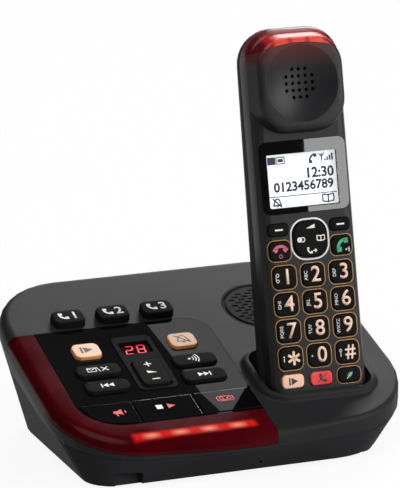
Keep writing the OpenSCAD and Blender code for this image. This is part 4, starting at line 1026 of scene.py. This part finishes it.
# %% [markdown]
# ## Rings round the keys
#
# Thin amber lines frame the dial, call and eco keys, and a white ring frames the
# navigator. They are printed on the case, not on the keys, so they stay when a
# key goes down. The cap of a key is measured at its top, because its flange is
# wider and hidden.

# %% Printed rings
def cap_of(node, angle, depth=0.0009):
    """Middle and size of a key's cap, in a turned frame, in millimetres."""
    back = turned(angle).transposed()
    points = [back @ v.co for v in nodes[node].data.vertices]
    top = max(p.z for p in points)
    cap = [p for p in points if p.z > top - depth]
    low = [1000 * min(p[i] for p in cap) for i in range(2)]
    high = [1000 * max(p[i] for p in cap) for i in range(2)]
    return [(a + b) / 2 for a, b in zip(low, high)], [b - a for a, b in zip(low, high)]


def ringed(node, ink, gap, thick, corner):
    """A line printed on the case round a key."""
    (x, y), (width, length) = cap_of(node, face_turn)
    grow = 2 * (gap + thick)
    ring = sheet_of(ink, (frame_line, 0.0, 0.0, width + grow, length + grow, corner, thick))
    laid("ring_" + node, [ring], "handset_front_case", "handset", face_turn,
         (x / 1000, y / 1000, window_top))


amber_ring, navigator_ring = (0.5, 0.3, 3.2), (0.7, 0.75, 7.2)
framed = ["dial_key_" + name for name in [*"123456789", "star", "0", "hash"]]
framed += ["talk_key", "off_key", "eco_key"]
for node in framed:
    ringed(node, "amber_ink", *amber_ring)
ringed("navigator_key", "white_ink", *navigator_ring)
print(len(framed) + 1, "rings printed on the case")

# %% [markdown]
# ## Symbols of the base
#
# The memory keys carry a handset and a plain number. The bar keys have the usual
# signs of an answering machine: erase a message, go back, find the handset, skip
# ahead.

# %% Memory and bar keys
for number in "123":
    on_key("memory_key_" + number, deck_turn,
           text_sheet("white_ink", number, 3.0, 0.0, 7.6, weight=0.15),
           sheet_of("white_ink", (handset_sign, -2.8, -0.3, 5.4, 40.0)))


def envelope_sign(x, y, width, length, thick):
    """A closed envelope with its flap."""
    frame_line(x, y, width, length, 0.3, thick)
    for side in (-1, 1):
        line(x, y - length * 0.05, x + side * width * 0.46, y + length * 0.42, thick)


def skip_sign(x, y, size, way):
    """Two triangles against a bar, pointing left or right."""
    for step in (0.0, 0.9):
        tip = x + way * size * (step + 0.05)
        foot = tip - way * size * 0.85
        outline((tip, y), (foot, y + size / 2), (foot, y - size / 2))
    bar(x + way * size * 1.12, y, size * 0.2, size)


on_key("erase_key", deck_turn, sheet_of(
    "white_ink", (envelope_sign, -3.2, 0.0, 4.4, 3.2, 0.38),
    (line, -0.6, 1.9, 0.6, -1.9, 0.4), (line, 1.6, -1.4, 4.6, 1.4, 0.55),
    (line, 1.6, 1.4, 4.6, -1.4, 0.55)))
on_key("repeat_key", deck_turn, sheet_of("white_ink", (skip_sign, 0.6, 0.0, 3.0, -1)))
on_key("skip_key", deck_turn, sheet_of("white_ink", (skip_sign, -0.6, 0.0, 3.0, 1)))
on_key("locator_key", deck_turn, sheet_of(
    "white_ink", (disc, -2.6, 0.0, 0.65), *[(arc, -2.6, 0.0, r, 0.5, -42.0, 42.0)
                                            for r in (1.9, 3.2, 4.5)]))
on_key("slow_key", deck_turn, sheet_of("black_ink", (slow_sign, 0.0, 0.0, 4.6)))


def bell_sign(x, y, size, thick):
    """A bell with a clapper, crossed out by a stroke."""
    arc(x, y + size * 0.1, size * 0.3, thick, 0.0, 180.0)
    for side in (-1, 1):
        line(x + side * size * 0.3, y + size * 0.1, x + side * size * 0.46,
             y - size * 0.3, thick)
    line(x - size * 0.5, y - size * 0.3, x + size * 0.5, y - size * 0.3, thick)
    disc(x, y - size * 0.42, size * 0.09, 12)
    line(x - size * 0.5, y + size * 0.45, x + size * 0.5, y - size * 0.5, thick)


on_key("ringer_off_key", deck_turn, sheet_of("black_ink", (bell_sign, 0.0, 0.2, 6.4, 0.65)))
on_key("volume_rocker", deck_turn, sheet_of(
    "white_ink", (bar, 0.0, 6.0, 3.6, 0.65), (bar, 0.0, 6.0, 0.65, 3.6),
    (outline, (-2.2, -1.0), (2.2, -1.0), (-2.2, 1.0)), (bar, 0.0, -6.0, 3.6, 0.65)))
print("memory, bar and rounded keys printed")

# %% [markdown]
# The three wide front keys are as polished as the panel, and their signs are red:
# a loudspeaker for the greeting, stop and play, and a tape for answering calls.
# Each sign is set off from the middle of its key, as it is on the object.

# %% Front keys
horn = ((-2.4, -1.0), (-0.4, -1.0), (1.8, -2.2), (1.8, 2.2), (-0.4, 1.0), (-2.4, 1.0))
on_key("greeting_key", deck_turn, sheet_of(
    "red_ink", (outline, *horn), (bar, -1.0, -2.0, 0.9, 1.6),
    (arc, 2.2, 0.0, 1.2, 0.4, -50.0, 50.0)), shift=(4.0, 0.5))
on_key("play_stop_key", deck_turn,
       sheet_of("white_ink", (bar, -3.0, 0.0, 3.0, 3.0)),
       sheet_of("red_ink", (outline, (1.0, -1.8), (4.6, 0.0), (1.0, 1.8))), shift=(-0.5, 1.0))
on_key("answer_on_key", deck_turn, sheet_of(
    "red_ink", (frame_line, 0.0, 0.0, 8.0, 3.8, 0.9, 0.42), (hoop, -1.9, 0.0, 1.1, 0.4),
    (hoop, 1.9, 0.0, 1.1, 0.4), (bar, 0.0, -0.9, 3.8, 0.4)), shift=(0.0, 1.5))
print("front keys printed")

# %% [markdown]
# ## The counter
#
# The answering machine counts its messages with two red digits. Such digits are
# seven straight segments, so one bar is drawn for each lit segment, on the
# tinted window of the counter. Their finish gives its own light.

# %% Lit digits
tree, shader, place = started("lit_red")
skin = placed(tree, grain_group, place, Grain=3000.0, Drift=400.0)
toned(tree, shader, skin.outputs["Tone"], "#e0202c", "#ff3b46")
toned(tree, shader, skin.outputs["Tone"], "#d41c2a", "#f03040", "Emission Color")
shader.inputs["Emission Strength"].default_value = 0.75
lit_segments = {"2": "abged", "8": "abcdefg"}
segment_w, segment_l, segment_t = 3.4, 3.1, 0.66
digit_lean, lean_angle = 0.12, 7
digit_x = 2.9


def seven_segments(digit, x):
    """Bars of one digit, leaning a little to the right."""
    places = {"a": (0, 1, 0), "g": (0, 0, 0), "d": (0, -1, 0), "f": (-1, 0.5, 90),
              "b": (1, 0.5, 90), "e": (-1, -0.5, 90), "c": (1, -0.5, 90)}
    for name in lit_segments[digit]:
        i, j, turn = places[name]
        y = j * segment_l
        bar(x + i * segment_w / 2 + y * digit_lean, y,
            segment_l * 0.86 if turn else segment_w * 0.8, segment_t,
            turn - (lean_angle if turn else 0))


laid("mark_counter_digits", [sheet_of("lit_red", (seven_segments, "2", -digit_x),
                                      (seven_segments, "8", digit_x))],
     "counter_display", "base", deck_turn, top_of("counter_display", deck_turn)[0])
print("counter shows 28")

# %% [markdown]
# ## The display
#
# The display is a pale, lit field with dark signs, seen through a window whose
# border is black from behind. The window is one solid, so its finish is made
# clear over the field and black around it.

# %% Display and window finishes
lcd_middle, lcd_size = top_of("lcd_module", face_turn)
tree, shader, place = started("lcd")
skin = placed(tree, grain_group, place, Grain=4000.0, Drift=70.0)
lit_edge = 0.006
lit = oblong(tree, place, turned(face_turn) @ lcd_middle, face_turn,
             lcd_size.x / 2, lcd_size.y / 2, lit_edge)
toned(tree, shader, skin.outputs["Tone"], "#c3c9cc", "#ccd2d5")
toned(tree, shader, lit, "#d2d7dc", "#e6eaed", "Emission Color")
shader.inputs["Emission Strength"].default_value = 1.0
shader.inputs["Roughness"].default_value = 0.5

tree, shader, place = polished("window_clear", "#040405", "#08080a", (0.0, 0.02))
clear_edge, clear_cover = 0.0002, 0.05
clear_half = lcd_size / 2 - Vector((0.0006, 0.0005, 0.0))
clear_middle = lcd_middle + Vector((-0.0010, -0.0005, 0.0))
clear = oblong(tree, place, turned(face_turn) @ clear_middle, face_turn,
               clear_half.x, clear_half.y, clear_edge)
tree.links.new(scaled(tree, clear, 0, 1, 1.0, clear_cover), shader.inputs["Alpha"])
for node, finish in (("lcd_module", "lcd"), ("display_window", "window_clear")):
    nodes[node].data.materials.clear()
    nodes[node].data.materials.append(finishes[finish])
    joined(nodes[node])
print("display", [round(1000 * v, 1) for v in lcd_size], "mm")

# %% [markdown]
# The page shows what any such telephone shows at rest: the strength of the radio
# link, a handset, a clock, a row of digits and the signs of the two soft keys.
# It is one thin sheet on the display, placed from the edges of the clear field.

# %% Display signs
half_w, half_l = 1000 * clear_half.x, 1000 * clear_half.y
top_row = half_l - 2.8
mast = half_w - 6.8
signs = [(bar, half_w - 5.2 + 1.2 * i, top_row - 1.4 + 0.4 * i, 0.8, 0.8 + 0.8 * i)
         for i in (3, 2, 1, 0)]
signs += [(line, mast, top_row + 1.7, mast, top_row - 1.8, 0.6),
          (line, mast - 1.4, top_row + 1.7, mast, top_row + 0.2, 0.5),
          (line, mast + 1.4, top_row + 1.7, mast, top_row + 0.2, 0.5),
          (handset_sign, half_w - 11.6, top_row, 4.8, -40.0),
          (bar, 3.2 - half_w, top_row, 4.0, 3.4),
          (frame_line, 7.6 - half_w, top_row, 4.4, 3.4, 0.4, 0.45),
          (bar, 7.6 - half_w, top_row, 2.6, 1.5),
          (bar, 0.0, 5.8 - half_l, 2 * half_w - 1.0, 0.4),
          (book_sign, half_w - 5.0, 3.2 - half_l, 5.0, 0.65),
          (bell_sign, 4.6 - half_w, 3.2 - half_l, 4.2, 0.65)]
page = [sheet_of("navy_ink", *signs),
        text_sheet("navy_ink", "12:30", half_w - 8.4, 2.8, 6.4, weight=0.2),
        text_sheet("navy_ink", "0123456789", half_w - 16.6, -2.7, 5.9, weight=0.18)]
laid("display_page", page, "lcd_module", "handset", face_turn,
     clear_middle + Vector((0.0006, -0.0002, 0.0)))
print("display page drawn")

# %% [markdown]
# ## The size of the dressed model
#
# The growth of the dressed model over the imported solids is printed, in millimetres.
# The dressing must not make the object bigger.

# %% Write the sizes and finish
dressed_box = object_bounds()
growth = [round(1000 * (new - old), 3) for new, old in zip(dressed_box[1], cad_box[1])]
print("grown by", growth, "mm")
